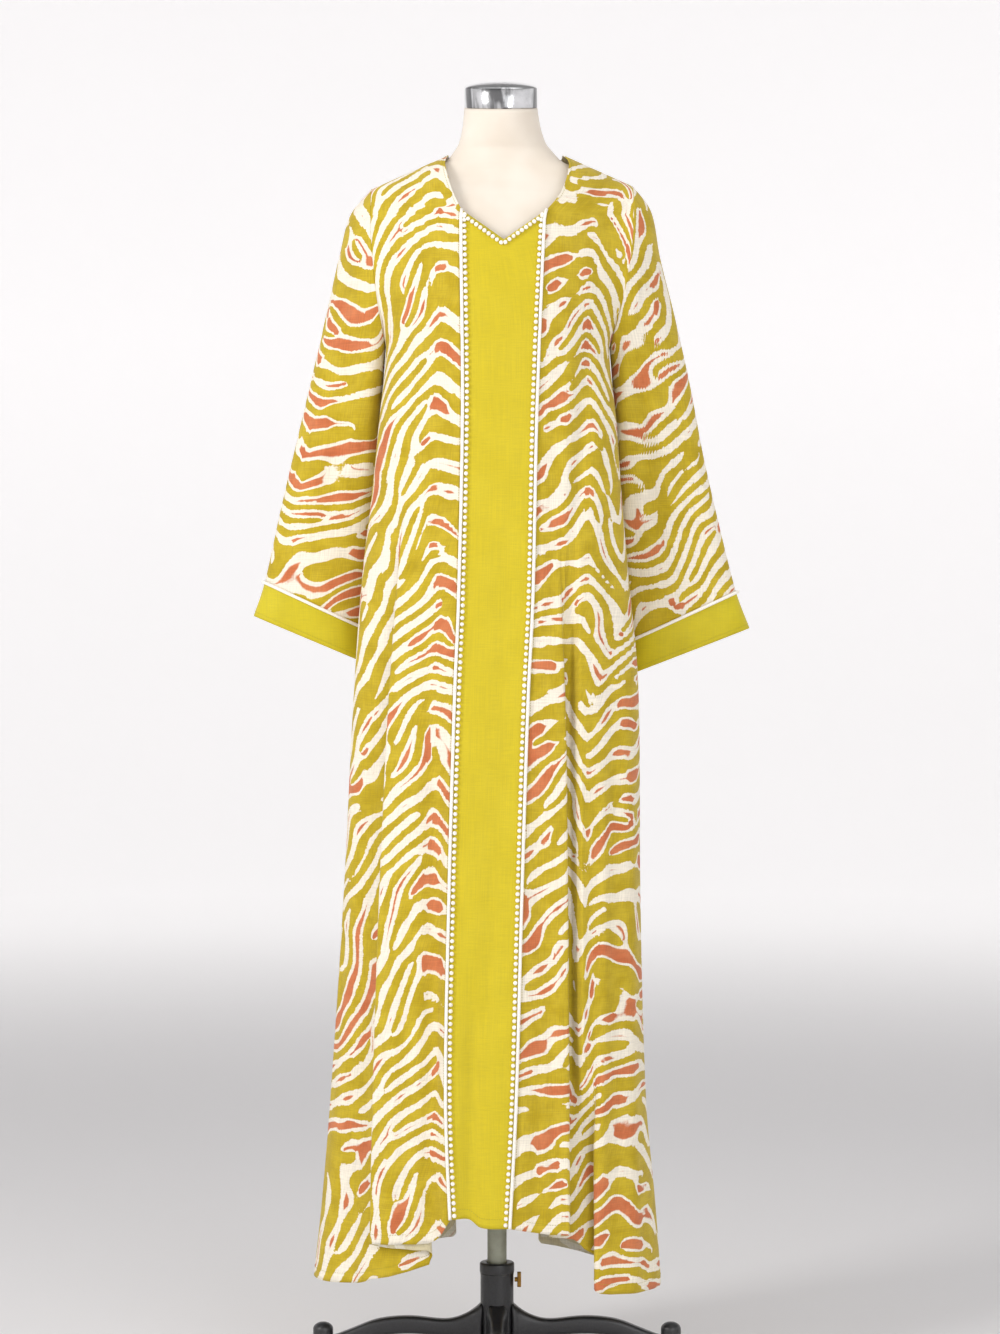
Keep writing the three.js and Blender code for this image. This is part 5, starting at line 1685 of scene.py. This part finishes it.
BACKDROP_RADIUS = 11.0
BACKDROP_CURVE = 2.5
BACKDROP_HEIGHT = 8.0
BACKDROP_SIDES = 96
GLOW_FROM = 2.0
GLOW_FULL = 7.5
GLOW = 0.37
WARM_WHITE = (1.0, 0.985, 0.98, 1.0)
WORLD_LIGHT = 0.3
LIGHTS = {
    "key": dict(place=(-2.9, -2.5, 2.3), aim=0.95, size=(1.0, 1.8), power=76, colour=(1.0, 0.985, 0.965)),
    "fill": dict(place=(1.6, -3.6, 1.4), aim=0.85, size=(1.8, 2.4), power=42, colour=(0.985, 0.99, 1.0)),
    "top": dict(place=(0.0, -0.4, 3.6), aim=0.9, size=(2.6, 2.0), power=20, colour=(1.0, 1.0, 1.0)),
}


def backdrop_look():
    """Pale paper that glows a little far from the middle, so that it looks even from all sides."""
    look = Look("floor_paper")
    place = look.object_place()
    colour = look.mix_colour(look.noise(place, 1 / 0.6), linear("#ecebec", 0.97), linear("#ecebec"))
    level = look.add("ShaderNodeVectorMath", operation="MULTIPLY")
    look.fill(level.inputs, place, (1.0, 1.0, 0.0))
    away = look.add("ShaderNodeVectorMath", operation="LENGTH")
    look.fill(away.inputs, level.outputs["Vector"])
    glow = look.ramp(away.outputs["Value"], GLOW_FROM, GLOW_FULL, 0.0, GLOW)
    look.set(Base_Color=colour, Roughness=0.85, Emission_Strength=glow, Emission_Color=WARM_WHITE)
    return look.material


def backdrop():
    """A round pale floor that curves up into a wall far behind every camera."""
    profile = [(r, 0.0) for r in (0.01, 1.5, 4.0, BACKDROP_RADIUS - BACKDROP_CURVE)]
    for turn in np.linspace(0, math.pi / 2, 17)[1:]:
        out = BACKDROP_RADIUS - BACKDROP_CURVE * (1 - math.sin(turn))
        profile.append((out, BACKDROP_CURVE * (1 - math.cos(turn))))
    profile.append((BACKDROP_RADIUS, BACKDROP_HEIGHT))
    turns = round_section(BACKDROP_SIDES)
    points = [(r * math.cos(t) / MM, r * math.sin(t) / MM, z / MM) for r, z in profile for t in turns]
    faces = [face[::-1] for face in tube_faces(len(profile), BACKDROP_SIDES)]
    faces.append(tuple(range(BACKDROP_SIDES)))
    mesh_object("floor", points, faces, [backdrop_look()])


def area_light(name, place, aim, size, power, colour):
    """A soft light that looks at a height on the object's axis."""
    data = bpy.data.lights.new(name, "AREA")
    data.shape = "RECTANGLE"
    data.size, data.size_y = size
    data.energy = power
    data.color = colour
    light = bpy.data.objects.new(name, data)
    bpy.context.scene.collection.objects.link(light)
    light.visible_camera = False
    light.location = place
    light.rotation_euler = (Vector((0, 0, aim)) - Vector(place)).to_track_quat("-Z", "Y").to_euler()


def studio():
    backdrop()
    for name, light in LIGHTS.items():
        area_light(name, **light)
    world = bpy.data.worlds.new("studio")
    world.use_nodes = True
    sky = world.node_tree.nodes["Background"].inputs
    sky["Color"].default_value = WARM_WHITE
    sky["Strength"].default_value = WORLD_LIGHT
    bpy.context.scene.world = world
    bpy.context.scene.view_settings.view_transform = "Standard"


studio()
